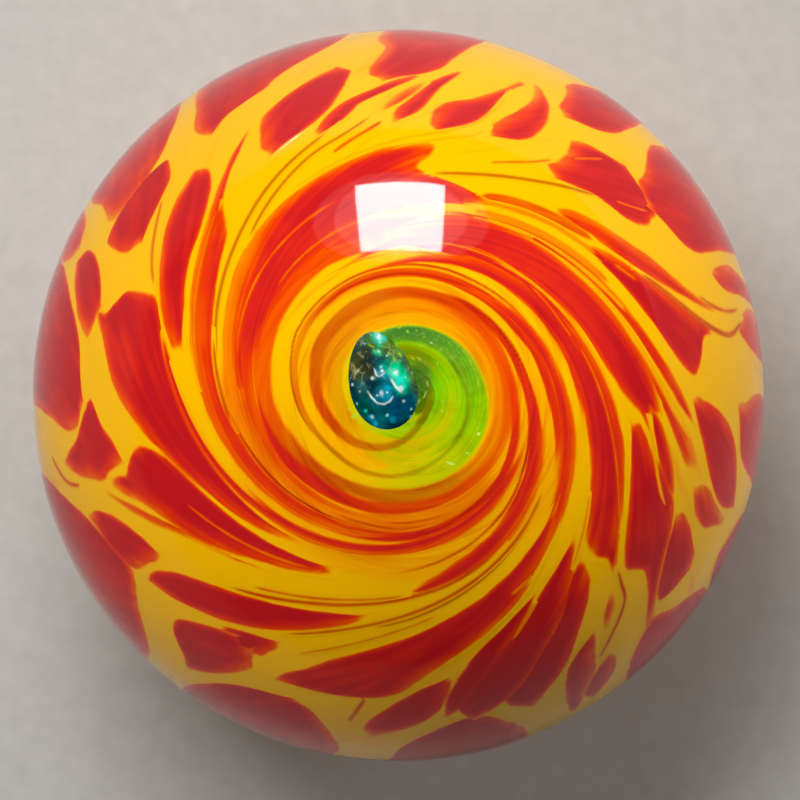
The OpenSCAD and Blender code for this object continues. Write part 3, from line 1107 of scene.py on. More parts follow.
        (570, 14.4, 0.2, 0.14, 0.8), (580, 13.9, 0.2, 0.1, 0.9), (600, 13.3, 0.2, 0.05, 0.7, 0.1),
        (620, 12.5, 0.2, 0, 0.6, 0.2), (640, 11.6, 0.2, 0, 0.5, 0.35), (660, 10.8, 0.14, 0, 0.4, 0.45),
        (680, 10.3, 0.12, 0, 0.45, 0.6), (700, 10, 0.12, 0, 0.45, 0.66), (720, 9.6, 0.12, 0, 0.4, 0.7),
        (750, 9, 0.1, 0, 0.4, 0.7), (780, 9.2, 0.1, 0, 0.3, 0.7),
    )),
    # thin dark threads beside them
    Winding((
        (410, 20.2, 0.12, 0.66, 0.5), (430, 19.6, 0.12, 0.66, 0.5), (450, 19.45, 0.12, 0.66, 0.5),
        (480, 19.45, 0.12, 0.6, 0.5), (505, 19.1, 0.1, 0.5, 0.5),
    ), 0.15, 0.2),
    Winding((
        (350, 26.7, 0.18, 0.5, 0.3), (360, 25.4, 0.18, 0.5, 0.3), (375, 23.8, 0.16, 0.46, 0.4),
        (390, 22.7, 0.14, 0.42, 0.5), (405, 22, 0.14, 0.4, 0.5), (420, 21.4, 0.12, 0.38, 0.5),
        (450, 21, 0.12, 0.36, 0.5), (480, 20.6, 0.1, 0.35, 0.6), (500, 20.3, 0.1, 0.3, 0.7),
        (510, 20, 0.1, 0.3, 0.7), (525, 18.7, 0.1, 0.3, 0.7), (540, 17.35, 0.1, 0.3, 0.8),
        (550, 16.5, 0.1, 0.26, 0.8), (560, 15.6, 0.1, 0.2, 0.8), (570, 14.9, 0.1, 0.15, 0.8),
    ), 0.15, 0.2),
    Winding((
        (262, 29, 0.12, 0.35, 0.5), (280, 27.2, 0.12, 0.35, 0.5), (300, 25.2, 0.12, 0.35, 0.5),
        (315, 23.6, 0.12, 0.4, 0.5), (330, 21.8, 0.12, 0.5, 0.5), (345, 20.3, 0.12, 0.6, 0.5),
        (360, 19, 0.12, 0.6, 0.5),
    ), 0.15, 0.2),
    Winding((
        (190, 24.8, 0.15, 0.42, 0.3), (200, 23.6, 0.15, 0.42, 0.3), (210, 22.8, 0.15, 0.42, 0.3),
        (220, 21.9, 0.15, 0.42, 0.3), (230, 21, 0.15, 0.42, 0.3), (240, 20.4, 0.15, 0.42, 0.3),
        (260, 20, 0.15, 0.4, 0.3), (300, 19.3, 0.1, 0.4, 0.3),
    ), 0.15, 0.2),
    Winding((
        (190, 26.2, 0.12, 0.36, 0.5), (200, 25, 0.12, 0.36, 0.5), (210, 23.8, 0.12, 0.36, 0.5),
        (220, 22.8, 0.12, 0.36, 0.5), (230, 21.9, 0.12, 0.36, 0.5), (240, 21.2, 0.12, 0.4, 0.3),
        (270, 20.8, 0.12, 0.4, 0.3), (290, 20.3, 0.1, 0.4, 0.3),
    ), 0.15, 0.2),
    Winding((
        (180, 28.9, 0.08, 0.5, 0.9), (190, 27.5, 0.08, 0.5, 0.9), (200, 26.05, 0.08, 0.5, 0.9),
        (210, 24.9, 0.08, 0.5, 0.9), (220, 23.85, 0.08, 0.5, 0.9), (230, 22.95, 0.08, 0.5, 0.8),
        (240, 22.2, 0.08, 0.5, 0.7), (252, 21.6, 0.06, 0.5, 0.6),
    ), 0.1, 0.12),
    Winding((
        (90, 22.85, 0.08, 0.15, 0.7), (110, 22.9, 0.08, 0.15, 0.7), (130, 22.85, 0.08, 0.12, 0.5),
    ), 0.12, 0.12),
    Winding((
        (20, 30, 0.1, 0.2), (30, 28.8, 0.1, 0.2), (40, 27.7, 0.1, 0.2), (50, 26.9, 0.1, 0.2),
        (60, 26.2, 0.1, 0.22), (75, 25.5, 0.08, 0.26), (90, 25.2, 0.06, 0.3),
    ), 0.15, 0.2, 10.0),
    Winding((
        (165, 27.7, 0.08, 0.32), (175, 26.4, 0.08, 0.32), (185, 25.2, 0.08, 0.34), (195, 24, 0.08, 0.34),
        (205, 22.85, 0.08, 0.34), (215, 21.75, 0.08, 0.34), (225, 20.85, 0.08, 0.34),
        (240, 20.1, 0.06, 0.36), (260, 19.4, 0.06, 0.38),
    ), 0.12, 0.25),
    Winding((
        (180, 29.4, 0.07, 0.34), (190, 27.95, 0.07, 0.34), (200, 26.5, 0.07, 0.34),
        (210, 25.25, 0.07, 0.34), (220, 24.25, 0.07, 0.36), (230, 23.35, 0.07, 0.36),
        (240, 22.5, 0.07, 0.38), (250, 21.95, 0.07, 0.38), (264, 21.7, 0.06, 0.4),
    ), 0.1, 0.12),
    Winding((
        (28, 25.2, 0.08, 0.4, 0.8), (40, 24.1, 0.08, 0.4, 0.8), (55, 23.6, 0.08, 0.4, 0.8),
        (80, 23.2, 0.08, 0.3, 0.8), (95, 22.9, 0.06, 0.2, 0.6),
    ), 0.12, 0.15),
))


# ---------- the pieces


AMBER_GLASS = FritGlass("amber drawn glass", wander=0.1)
SCARLET_GLASS = FritGlass("scarlet drawn glass")
CRIMSON_GLASS = FritGlass("crimson frit glass")

FULL = Fade(1.0, 1.0)
THIN = Fade(0.42, 1.6)
FIRM = Fade(0.8, 0.5)

# The drawn arms and the long tails between them, counter-clockwise from the right
SCARLET = (
    Chip((
        (22.5, 36, 70), (25, 24, 76), (27.5, 4, 78), (29.5, 8, 79.5), (31.5, 5, 80), (33.5, 0, 80),
        (35, 3, 79.5), (36.2, 16, 78), (37.4, 30, 74), (39, 37.5, 69), (41, 40.5, 61), (42.6, 43.5, 55),
        (43.6, 46, 49),
    ), 0.84, Fade(0.6, 1.0), Fade(0.35, 1.6), FULL, melt=4.5),
    Chip((
        (22.5, 84, 103), (25, 84.5, 106), (28, 87.5, 107.5), (31, 89.6, 108.6), (34, 90.2, 109),
        (37, 91.2, 108.6), (40, 92.6, 107.6), (42, 95, 106.8), (44, 98.6, 106), (46, 101, 105.4),
        (50, 102.8, 105.2), (54, 103, 104.8), (56.5, 103.3, 104),
    ), 0.9, far=THIN, inner=FULL, melt=4.5),
    Chip((
        (23, 118, 148), (24.5, 117.4, 144), (26, 117.6, 137), (28, 118.6, 132), (30, 120.4, 130.4),
        (33, 122.2, 129.4), (36, 123.2, 128.8), (40, 124.4, 128.2), (42, 125.4, 127.4),
    ), 0.88, inner=FULL, melt=3.5),
    Chip((
        (30, 132, 142), (31.5, 129.5, 144.5), (33, 128, 146), (35, 127.2, 147.4), (38, 126.6, 150.4),
        (41, 126.2, 152.6), (44, 125.8, 154.2), (46.5, 127.2, 155), (49, 131.6, 155.6), (51.5, 136, 155.6),
        (53.5, 139.4, 154.2), (55, 143.6, 152.6), (57, 148.6, 151.8), (60, 150.4, 151.4),
    ), 0.92, inner=Fade(0.36, 3.4)),
    Chip((
        (36.9, 174.6, 175.4), (40.2, 174, 176.4), (43, 174.4, 177.2), (45.8, 175.8, 178.6),
        (48.6, 178, 180.6), (51.3, 179.6, 182), (54, 181, 182.6), (57, 182, 183),
    ), 0.68),
    Chip((
        (22.3, 175, 184), (23.5, 178, 195), (25, 181.5, 202), (26.5, 183, 206), (28, 184.3, 208.5),
        (29.5, 187, 208), (31, 191, 202), (32, 194, 199),
    ), 0.88, inner=FULL, melt=3.5),
    Chip((
        (20.8, 210, 226), (22.3, 215, 236), (24, 220.6, 240.4), (26, 225.2, 243.4), (28, 229, 246.4),
        (30, 232.2, 248.4), (32, 233.6, 249), (34, 231.4, 248.6), (36, 229.6, 247.6),
    ), 0.78, inner=FULL, outer=FULL, melt=2.5),
    Chip((
        (23.6, 262, 292), (25, 258.6, 296), (27, 259, 294), (29, 261, 293.4), (31, 263.2, 293.8),
        (33, 265.4, 294.6), (35, 267.4, 295), (37, 269.6, 294.2), (39, 272.4, 292.8), (41, 277, 291.8),
        (43, 282, 291.4), (45, 287.4, 291.6), (47.5, 291, 292.8),
    ), 0.88, inner=FULL, melt=3.0),
    Chip((
        (25.6, 304, 338), (26.8, 298.4, 346), (28.5, 296.2, 350), (30.5, 296.2, 352), (32, 297.2, 346),
        (33.5, 298.6, 337.5), (35, 300.8, 332.6), (37, 304.2, 329.8), (39, 307.6, 328.4),
        (40.6, 310, 327.6),
    ), 0.88, inner=FULL, melt=3.0),
    Chip((
        (39.5, 318, 328.2), (41, 320.4, 327.4), (43, 322.2, 327), (46, 323.4, 327.2), (49, 323.6, 328.4),
        (52, 324.6, 329.8), (54, 326.5, 330),
    ), 0.66, inner=FULL),
    Chip((
        (39.5, 308.4, 314.5), (41, 310, 313.6), (43, 311.2, 312.8), (45, 312.2, 313),
    ), 0.72, inner=FULL),
    Chip((
        (31.6, 346, 354), (33, 338.4, 350), (35, 333.6, 347), (37, 331.5, 343.6), (39, 330.2, 339.6),
        (41, 329.8, 336.8), (44, 329.9, 335.3), (47, 330.6, 334.9), (50, 331.8, 334.4),
        (52.5, 332.8, 333.8),
    ), 0.72),
    Chip((
        (51.5, 292.5, 294.2), (54, 293, 296), (56.5, 294.4, 296.4),
    ), 0.5),
)

# The whole chips, counter-clockwise from the right
CRIMSON = (
    Chip((
        (40.6, 3, 6), (41.5, 0.5, 8), (43.5, -1.8, 9.2), (46, -2.8, 7), (48, -2.6, 5.6), (50.5, -1.5, 4.8),
        (54, 0.2, 3.6), (59, 2.2, 3.9), (64, 5, 6.2),
    ), 0.82, outer=Fade(0.45, 5.0)),
    Chip((
        (46.5, 22.5, 25), (48, 20.6, 29.6), (49.7, 17.5, 31.2), (50.8, 14.6, 32.6), (52.5, 14.6, 34.6),
        (54.5, 16.2, 37.4), (56.5, 19, 39.8), (58.2, 20.6, 39.4), (59.4, 27, 36.5),
    )),
    Chip((
        (58.6, 19, 26), (60.2, 15.8, 29.5), (63, 15.6, 32), (67, 17.5, 36), (71, 19.5, 39.4),
        (75, 20.6, 41.6), (80, 21.5, 42), (90, 23, 42.5), (100, 26, 41.5), (108, 29, 38), (112, 32, 35),
    )),
    Chip((
        (65.5, 12.2, 13.2), (67, 11.3, 14.6), (70, 11.6, 16.4), (74, 12.8, 17.9), (78, 13.3, 17.9),
        (84, 13.5, 17.2), (92, 14, 17), (100, 15, 16),
    ), 0.85),
    Chip((
        (69.5, 4.6, 5.8), (72, 4.2, 8), (76, 4, 11), (82, 4.2, 12.5), (92, 5, 12), (104, 8, 10),
    ), 0.68),
    Chip((
        (48.4, 42.4, 44), (49.5, 40.4, 46), (51, 40.6, 48.2), (53, 42.3, 49.8), (55, 44.2, 50.8),
        (57.5, 46.8, 52.2), (60, 49.6, 53.6), (63, 53, 55.8), (66.5, 57.5, 59),
    ), outer=Fade(0.5, 4.0)),
    Chip((
        (47, 51.6, 53.4), (48, 50.3, 56.2), (50, 50, 59), (52, 51.4, 61.3), (54, 53.2, 61.6),
        (56, 55.2, 60), (58.5, 57.2, 59.9), (62, 59, 60.4), (65.5, 59.8, 61.2),
    ), outer=Fade(0.5, 3.0)),
    Chip((
        (48.7, 63.4, 65), (50, 63, 66.8), (52, 63.9, 68.8), (54, 65.3, 69.6), (56, 66.8, 70.2),
        (59.5, 68.3, 71), (63.2, 69.3, 70.3),
    )),
    Chip((
        (51.5, 70, 71.5), (53.5, 69.6, 72.6), (56, 70.3, 73), (58, 71, 72.5),
    ), 0.62),
    Chip((
        (48.5, 79.2, 80.8), (49.6, 78, 82.2), (51.5, 77.8, 83), (53.5, 78.3, 83), (55.2, 76.8, 82),
        (57, 75.6, 79.5), (60, 74.4, 77.5),
    )),
    Chip((
        (60, 77.5, 81.5), (61.5, 74.5, 84), (64, 73.3, 85.6), (68, 74.4, 86.6), (72, 75, 87.8),
        (76, 75.5, 90.6), (82, 75.7, 91.6), (92, 77, 92), (102, 81, 91), (108, 85, 89),
    ), 0.88),
    Chip((
        (49.4, 88, 93.5), (50.6, 85.8, 95.6), (52.5, 84.7, 97.7), (55, 85, 99.8), (57.5, 86.1, 101.6),
        (59, 86.8, 101), (61.5, 87.9, 98.4), (63.5, 89, 96), (65, 91, 94.2),
    )),
    Chip((
        (62.2, 46.5, 49.5), (64, 44, 51.8), (67, 43.4, 53.6), (70, 44.2, 55.6), (73.5, 45.5, 57.8),
        (77, 46.2, 58.3), (81, 47.2, 57.4), (88, 48, 56), (96, 49, 55), (102, 51, 53),
    )),
    Chip((
        (38.6, 113.4, 117.5), (39.8, 111.8, 121), (41.5, 111.3, 123.3), (43.5, 110, 124.2),
        (45.5, 107.4, 124.6), (48, 107.3, 124.4), (50.5, 108.2, 123.6), (53, 110, 121.8),
        (55, 112.6, 119.4), (55.8, 114.5, 117.5),
    )),
    Chip((
        (30.4, 156.5, 160), (31.6, 153.8, 166.5), (33.5, 151, 168.6), (36, 149.8, 170.4),
        (38.5, 150.3, 172.6), (41, 152.2, 174.4), (43.5, 155.2, 175.4), (46, 159, 176), (48, 163, 176.4),
        (50, 168.6, 177), (51.4, 173, 177.6), (54, 176, 179.4),
    )),
    Chip((
        (51.7, 169, 171), (53, 167.7, 173), (55, 167.8, 176.2), (56.6, 166, 179), (58, 165.6, 180.8),
        (59.6, 169, 182), (61.5, 173.8, 183.2), (63.5, 177.8, 184.2), (66, 181, 185), (68, 183.4, 185.2),
    )),
    Chip((
        (56, 129.5, 133.5), (57.4, 126.4, 136.8), (59.4, 123.8, 139.4), (61.5, 124.1, 141.2),
        (63.5, 124.8, 142.6), (65, 125.6, 143.3), (66.2, 131, 139),
    )),
    Chip((
        (58.8, 148.6, 150.6), (60, 147.6, 156.2), (62, 146.9, 157.3), (65, 147, 157.1), (68, 148.1, 156),
        (70.4, 149.6, 154.9), (72, 152, 153.8),
    )),
    Chip((
        (62, 113.6, 115.4), (64, 112.2, 118), (66, 106, 119.6), (68, 105, 120.4), (70, 103.6, 120.8),
        (73, 100.6, 121.3), (77, 98.4, 122.3), (82, 97.5, 123), (90, 98, 122.5), (98, 101, 120),
        (105, 106, 115),
    ), 0.86),
    Chip((
        (65.6, 130, 140), (67.5, 127.8, 142), (71, 126.6, 143), (75, 126, 144), (79, 126, 146),
        (84, 126.3, 147), (92, 127.5, 146.5), (101, 130, 144.5), (108, 134, 140),
    ), 0.86, inner=Fade(0.45, 4.0)),
    Chip((
        (75.4, 150, 153.5), (77, 149, 155), (81, 148.8, 157), (88, 149.5, 157.5), (96, 151, 156.5),
        (102, 153, 155),
    ), 0.72),
    Chip((
        (60.8, 165, 170.5), (62, 160.8, 173.8), (64, 158.9, 176.2), (67, 158, 178), (72, 157.3, 179),
        (78, 157, 180), (86, 157.5, 181), (96, 160, 181), (104, 164, 179), (110, 170, 175),
    )),
    Chip((
        (37.3, 201.5, 205), (38.4, 198.8, 207.4), (40, 196.6, 209.2), (42.5, 194.8, 210), (45, 194, 210),
        (48, 193.8, 209.4), (51, 194.6, 208), (54, 196.4, 205.6), (56.5, 198.6, 203.6), (58, 200.6, 202),
    )),
    Chip((
        (52.2, 189.8, 191.6), (53.4, 188.4, 193.6), (55.5, 187.6, 195.6), (58, 187.6, 198.4),
        (60.5, 188.6, 200), (62.5, 189.8, 198.4), (64.6, 191.4, 194.4),
    )),
    Chip((
        (48.8, 213.6, 216.4), (50, 211.6, 218.2), (51.6, 210.5, 219.8), (53.2, 211.4, 221.2),
        (54.6, 215, 220.6),
    )),
    Chip((
        (55.4, 210, 223.6), (57, 210.3, 225.4), (59.5, 211.3, 226.6), (62, 214, 227.2),
        (64.5, 218.2, 227.3), (67, 222.4, 227.2), (69.5, 225.2, 226.8),
    )),
    Chip((
        (31.5, 234, 242), (33.5, 231.8, 246), (36, 229.6, 248), (38, 228, 250.4), (40, 227, 251),
        (43, 225.8, 250.2), (46, 225.4, 249.2), (48.5, 226.4, 248.6), (51, 227.6, 249.2),
        (53.5, 228, 249.4), (55.5, 228.8, 246), (57, 229.6, 233),
    )),
    Chip((
        (51.3, 254, 256.6), (53, 252.5, 259.2), (55.5, 252.1, 261.4), (59, 252.5, 263.2),
        (62.5, 253.4, 263), (65.5, 255, 261), (67.5, 257, 259.4),
    )),
    Chip((
        (40.4, 256, 258.4), (41.6, 255.3, 260), (44, 254.6, 262), (47, 255.2, 264), (50, 257.2, 266),
        (53, 259.4, 267.5), (56, 261.6, 268), (59, 264, 268), (61, 265.4, 267),
    ), near=FIRM),
    Chip((
        (37.2, 262, 264.6), (38.4, 260.5, 267), (40, 259.9, 269.6), (42, 260.4, 272), (45, 261.6, 275),
        (49, 262.4, 277), (53, 263.4, 278), (57, 265, 278), (60, 267.5, 277), (63, 271, 275),
    ), near=FIRM),
    Chip((
        (41, 271.5, 274), (42, 270.5, 276.4), (44, 270, 280), (46, 270.6, 282.6), (49, 271.4, 284.6),
        (53, 272, 285.8), (57, 273.5, 287), (60, 275.4, 287), (63, 279, 286), (65.5, 283, 286),
    )),
    Chip((
        (61.3, 236, 239.6), (62.6, 233, 243), (65, 231, 247), (68, 230.5, 250.5), (71, 230.6, 253.5),
        (75, 231, 256.5), (80, 232, 258.5), (88, 234, 259), (97, 238, 257), (106, 244, 250),
    )),
    Chip((
        (61, 199, 201.8), (62.2, 196.8, 204.2), (64.5, 194.2, 207.8), (67, 193, 211.6), (70, 192.6, 216),
        (74, 192.2, 220.6), (79, 191.8, 224), (86, 192, 226), (96, 195, 226.5), (105, 200, 223),
        (112, 208, 216),
    )),
    Chip((
        (63.3, 270.6, 273.6), (65, 268.4, 276.8), (68, 266.6, 280.8), (72, 266, 285), (76, 266.4, 287.6),
        (81, 267.4, 289.4), (90, 268.6, 290.2), (100, 272, 289), (110, 277, 284),
    )),
    Chip((
        (38.8, 299.4, 303.6), (40, 296.8, 307), (42, 295.2, 309.6), (44, 294.6, 311.6), (46, 294.8, 314),
        (48, 295.6, 318), (50, 297.6, 318.4), (52, 301.4, 317), (54, 304.8, 315.4), (56.5, 306.4, 312),
        (60, 307.4, 310.4), (65, 308, 310.6), (69, 309, 311),
    ), outer=Fade(0.42, 6.0)),
    Chip((
        (42.5, 315.4, 317.6), (43.6, 313.8, 318.8), (45.5, 313.2, 319.4), (48, 314, 319.6),
        (50.5, 315.4, 318.6),
    )),
    Chip((
        (54.4, 315.4, 318), (55.6, 312.8, 320), (58, 310.9, 321.4), (61, 310.1, 322.3),
        (63.5, 311.4, 322.6), (65, 315, 322.6), (66, 319.4, 321.8),
    )),
    Chip((
        (56.5, 324.8, 326.4), (58.5, 324.4, 329.2), (61, 325.2, 331), (64, 326.8, 332), (67, 329.6, 332.8),
        (70, 332.4, 333.6),
    ), 0.85),
    Chip((
        (52.2, 336.4, 337.6), (53.4, 334.8, 339.6), (55.5, 333.7, 341.4), (58, 332.6, 343.2),
        (61, 332.2, 344.5), (64.5, 332.6, 344.7), (67.5, 333.7, 343.3), (70, 335.2, 340.8),
        (72.8, 337, 338),
    )),
    Chip((
        (39.5, 350.4, 353.4), (41, 347, 355), (43, 343.8, 355.9), (45.5, 341.9, 356.3), (48.5, 341, 356.5),
        (51, 341.6, 356.9), (53, 343.6, 357.2), (54.8, 348.6, 357.6), (56.5, 354.4, 358.2),
        (59, 357.4, 359),
    )),
    Chip((
        (66.9, 349.4, 351), (68, 347, 352), (69.6, 344.4, 352.8), (72, 344, 354.8), (75, 344.2, 356.8),
        (79, 344.8, 358.4), (86, 345.4, 359), (95, 347, 358), (106, 350, 354),
    ), 0.86),
    Chip((
        (56, 290.4, 292.2), (57.6, 289, 293.2), (60, 288.6, 294.4), (63, 289.6, 296), (66, 291, 297),
        (70, 292.8, 297), (74, 294.6, 297.4), (78, 296, 297.6),
    )),
    Chip((
        (64.8, 298.6, 300.2), (66.5, 297.2, 301.6), (69.5, 296.6, 302.5), (73, 297, 302.6),
        (75.6, 298.8, 301.6), (77, 299.8, 301),
    )),
    Chip((
        (66.2, 309, 311.4), (68, 307.8, 313.8), (71, 306.9, 317.8), (74, 306.7, 322), (78, 307, 325.4),
        (84, 308, 327), (92, 310, 327), (100, 313, 325.5), (108, 317, 321),
    )),
    Chip((
        (76, 330, 332), (78, 328.4, 336), (81, 327.6, 339.6), (87, 327.8, 341), (95, 330, 340.4),
        (104, 334, 337.4),
    )),
)


def frit_ring(count: int, colat: tuple[float, float], share: float, shift: float) -> tuple[Chip, ...]:
    """Spaces whole chips evenly round the underside.

    Half the width of a chip is a sine wave of how far along it, so that it comes to a round tip at both ends.

    Args:
        count: How many there are.
        colat: Where they start and end.
        share: How much of the ring they fill.
        shift: Where the first one is, as a share of their spacing.

    Returns:
        The chips, each of every three set a little lower or higher than its neighbours.
    """
    step = 360.0 / count
    chips = []
    for i in range(count):
        rows = []
        for along in (0.1, 0.25, 0.5, 0.75, 0.9):
            half = 0.5 * share * step * math.sin(math.pi * along)
            middle = step * (i + shift) + 4.0 * along
            level = colat[0] + along * (colat[1] - colat[0]) + 4.0 * (i % 3 - 1)
            rows.append((level, middle - half, middle + half))
        chips.append(Chip(tuple(rows)))
    return tuple(chips)


LOWER = frit_ring(11, (114.0, 140.0), 0.6, 0.25) + frit_ring(5, (147.0, 164.0), 0.45, 0.6)

# The broad windings that the arms thin out to
AMBER = (
    Streak((195, 24.5), (570, 11.5), 2.4),
    Streak((255, 23), (440, 17.5), 1.6),
    Streak((20, 26), (240, 13.5), 0.9),
    Streak((330, 23.5), (420, 20.5), 1.2),
)

# The thin threads: brown-orange ones between the arms, then paler ones over and beside them
THREADS = (
    Thread(((86, 30), (87, 34), (85, 39), (83, 43), (78, 48), (77, 50)), 0.13, Tint.BROWN),
    Thread(((78, 36), (78, 40), (76, 44), (72, 47), (71, 51)), 0.1, Tint.BROWN),
    Thread(((69, 43), (67, 47), (67, 49)), 0.18, Tint.ORANGE),
    Thread(((30, 37), (24, 39), (21, 42), (20, 46), (19, 50)), 0.15, Tint.BROWN),
    Thread(((30, 42), (30, 46), (32, 50)), 0.08, Tint.ORANGE),
    Thread(((9, 35.3), (2, 39), (-3, 42)), 0.6, Tint.ORANGE),
    Thread(((4, 33.5), (0, 36), (-6, 39), (-10, 41)), 0.3, Tint.AMBER),
    Thread(((-4, 32), (-10, 34), (-16, 37), (-20, 40)), 0.4, Tint.AMBER),
    Thread(((-10, 31.5), (-17, 33.5), (-23, 37), (-26, 41)), 0.3, Tint.STRAW),
    Thread(((356, 45), (357.5, 55), (361, 64), (366, 70), (369, 74)), 0.26, Tint.RUST),
    Thread(((3.5, 57), (5, 63), (8, 69), (10, 72)), 0.16, Tint.ORANGE),
    Thread(((208, 28.5), (203, 31), (196, 34), (192.5, 37.5), (192, 42), (191.5, 46)), 0.2, Tint.RUST),
    Thread(((196, 32), (190, 34.5), (188, 38), (188, 42)), 0.14, Tint.ORANGE),
    Thread(((210, 25.5), (214, 28), (214, 31), (211, 38), (211, 45), (210.5, 48)), 0.16, Tint.RUST),
    Thread(((212, 26), (217, 30), (217.5, 33), (215.5, 37), (212, 40)), 0.1, Tint.BROWN),
    Thread(((222, 36), (220, 40), (220.5, 47), (221, 50)), 0.1, Tint.ORANGE),
    Thread(((292, 47), (296, 51), (299, 55), (297.5, 60), (296, 64)), 0.16, Tint.RUST),
    Thread(((119.6, 28), (121.5, 32), (122.5, 36), (124, 40)), 0.16, Tint.STRAW, taper=0.5),
    Thread(((127, 47), (127.5, 51), (125.5, 56), (124.5, 58)), 0.16, Tint.ORANGE),
    Thread(((86.8, 27.5), (87.6, 29), (88.2, 31), (88.6, 33.5)), 0.13, Tint.RUST, taper=0.5),
    Thread(((84, 27.5), (85, 29), (85.6, 31), (86, 33)), 0.13, Tint.STRAW, taper=0.5),
    Thread(((186, 64), (188, 68), (188, 71), (185.5, 75)), 0.22, Tint.ORANGE),
    Thread(((245, 55), (248, 59), (251, 64)), 0.24, Tint.ORANGE),
    Thread((
        (74, 38.5), (62, 41.5), (53, 45), (50, 47), (50, 49.5), (53, 54), (57, 59), (60, 63),
    ), 0.16, Tint.STRAW),
    Thread(((53, 41.5), (47, 45), (45, 47), (48, 51)), 0.13, Tint.STRAW),
    Thread((
        (60.6, 26.2), (61.2, 27.4), (61, 28.8), (56, 31), (47, 33), (37, 35),
    ), 0.13, Tint.AMBER, taper=0.4),
    Thread(((5, 29.8), (18, 28.8), (27, 27.6), (31, 26.5)), 0.13, Tint.AMBER, taper=0.4),
    Thread(((102, 47), (103, 42), (105, 37), (107, 33)), 0.12, Tint.AMBER),
    Thread(((283, 28.5), (284, 32), (286, 36), (289, 41), (291, 44)), 0.12, Tint.AMBER),
    Thread((
        (316, 25.4), (303, 26.8), (287, 27.2), (281, 28.6), (285, 31), (291, 34),
    ), 0.12, Tint.AMBER, taper=0.4),
    Thread(((303, 25.2), (296, 26.6), (293.4, 30), (294, 34), (296.4, 38)), 0.2, Tint.STRAW, taper=0.4),
    Thread((
        (341, 33.2), (336, 34.4), (331, 37), (328.5, 40), (327.5, 43), (327.6, 47), (329, 52),
    ), 0.24, Tint.STRAW, taper=0.4),
    Thread(((336, 33.5), (331, 36), (328, 40)), 0.16, Tint.STRAW),
    Thread(((313.2, 41), (311.6, 43.5), (311, 46.5), (312.4, 49.6), (315, 52)), 0.24, Tint.STRAW),
    Thread(((260, 41), (261.5, 44), (263, 46.5)), 0.2, Tint.AMBER),
    Thread(((244, 37.6), (248, 36.4)), 0.2, Tint.AMBER),
    Thread(((266, 34), (268, 37), (270, 41)), 0.12, Tint.AMBER),
    Thread(((352, 42), (352, 45)), 0.2, Tint.AMBER),
    Thread(((162.5, 31), (162.5, 37), (162.5, 42)), 0.16, Tint.AMBER),
    Thread(((19.7, 51), (19.9, 54), (20.5, 57)), 0.16, Tint.AMBER),
    Thread(((32.8, 52), (33.6, 55), (34.4, 58)), 0.16, Tint.AMBER),
)


@dataclass
class Ground:
    """The ball of yellow glass."""

    look: GroundGlass = GroundGlass("yellow soda-lime glass")
    around: int = 360

    def build(self) -> bpy.types.Object:
        """Builds the ball on rings of equal colatitude, closest together round the eye.

        Returns:
            The finished piece, which stands for the yellow node.
        """
        # From, to and degrees apart
        zones = ((0.2, 30.0, 0.2), (30.0, 90.0, 1.0), (90.0, 179.0, 2.0))
        colat = np.concatenate([np.arange(*zone) for zone in zones])
        lon = np.arange(self.around) * 360.0 / self.around
        lons, colats = np.meshgrid(lon, colat)
        points = BALL.points(lons, colats).reshape(-1, 3)
        pole = np.array([[0.0, 0.0, BALL.radius]])
        melt = np.pad(RING.melt(lons, colats).reshape(-1, 3), ((1, 1), (0, 0)))
        skin = Skin("yellow_ball")
        faces = round_faces(len(colat), self.around)
        skin.add(np.concatenate([pole, points, -pole]), faces, {"melt": melt})
        piece = skin.finish()
        piece.data.materials.append(self.look.material())
        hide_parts("yellow_ground")
        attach(piece, "root")
        return piece


class Foil(Enum):
    """What a spot of crumpled dichroic foil shows, as its colour seen through the glass; the glint colours
    are painted glints.
    """

    OLIVE = "3A4220"
    MOSS = "5C8420"
    TEAL = "00626A"
    DEEP = "004664"
    INK = "00303E"
    PINE = "004A44"
    CYAN = "0A9CC0"
    # Painted glint: bright turquoise where the creases catch the light, partly the foil's own colour
    TURQUOISE_GLINT = "1EF0C8"
    EMERALD = "00D884"
    LIME = "A8DC32"
    SAND = "A89A5E"
    # Painted glints: near-white and lemon sparks where the foil catches the light
    WHITE_GLINT = "EAFFFA"
    LEMON_GLINT = "E8FF7A"


@dataclass(frozen=True)
class FleckOrGlint:
    """A stroke of foil colour or painted glint through places on the eye, x and y in millimetres from the
    pole.
    """

    foil: Foil
    places: tuple[tuple[float, float], ...]
    width: float
    soft: float = 0.08
    share: float = 1.0

    def cover(self, spots: Array) -> Array:
        """Gives how far it covers each spot: its share within half its width, fading over its softness.

        Along a line, the share is one less the fourth power of how far from its middle a spot is,
        up to half that, so that both ends of the stroke thin out.
        """
        reach = np.full(len(spots), np.inf)
        place = np.zeros(len(spots))
        pairs = list(zip(self.places, self.places[1:] or self.places))
        for number, (first, last) in enumerate(pairs):
            start, run = np.array(first), np.array(last) - np.array(first)
            along = np.clip((spots - start) @ run / max(float(run @ run), 1e-9), 0.0, 1.0)
            gap = np.linalg.norm(spots - start - along[:, None] * run, axis=1)
            place = np.where(gap < reach, (number + along) / len(pairs), place)
            reach = np.minimum(reach, gap)
        ends = 1.0 - 0.7 * np.abs(2.0 * place - 1.0) ** 4 if len(self.places) > 1 else 1.0
        return self.share * ends * (1.0 - smooth(reach, self.width / 2.0, self.width / 2.0 + self.soft))
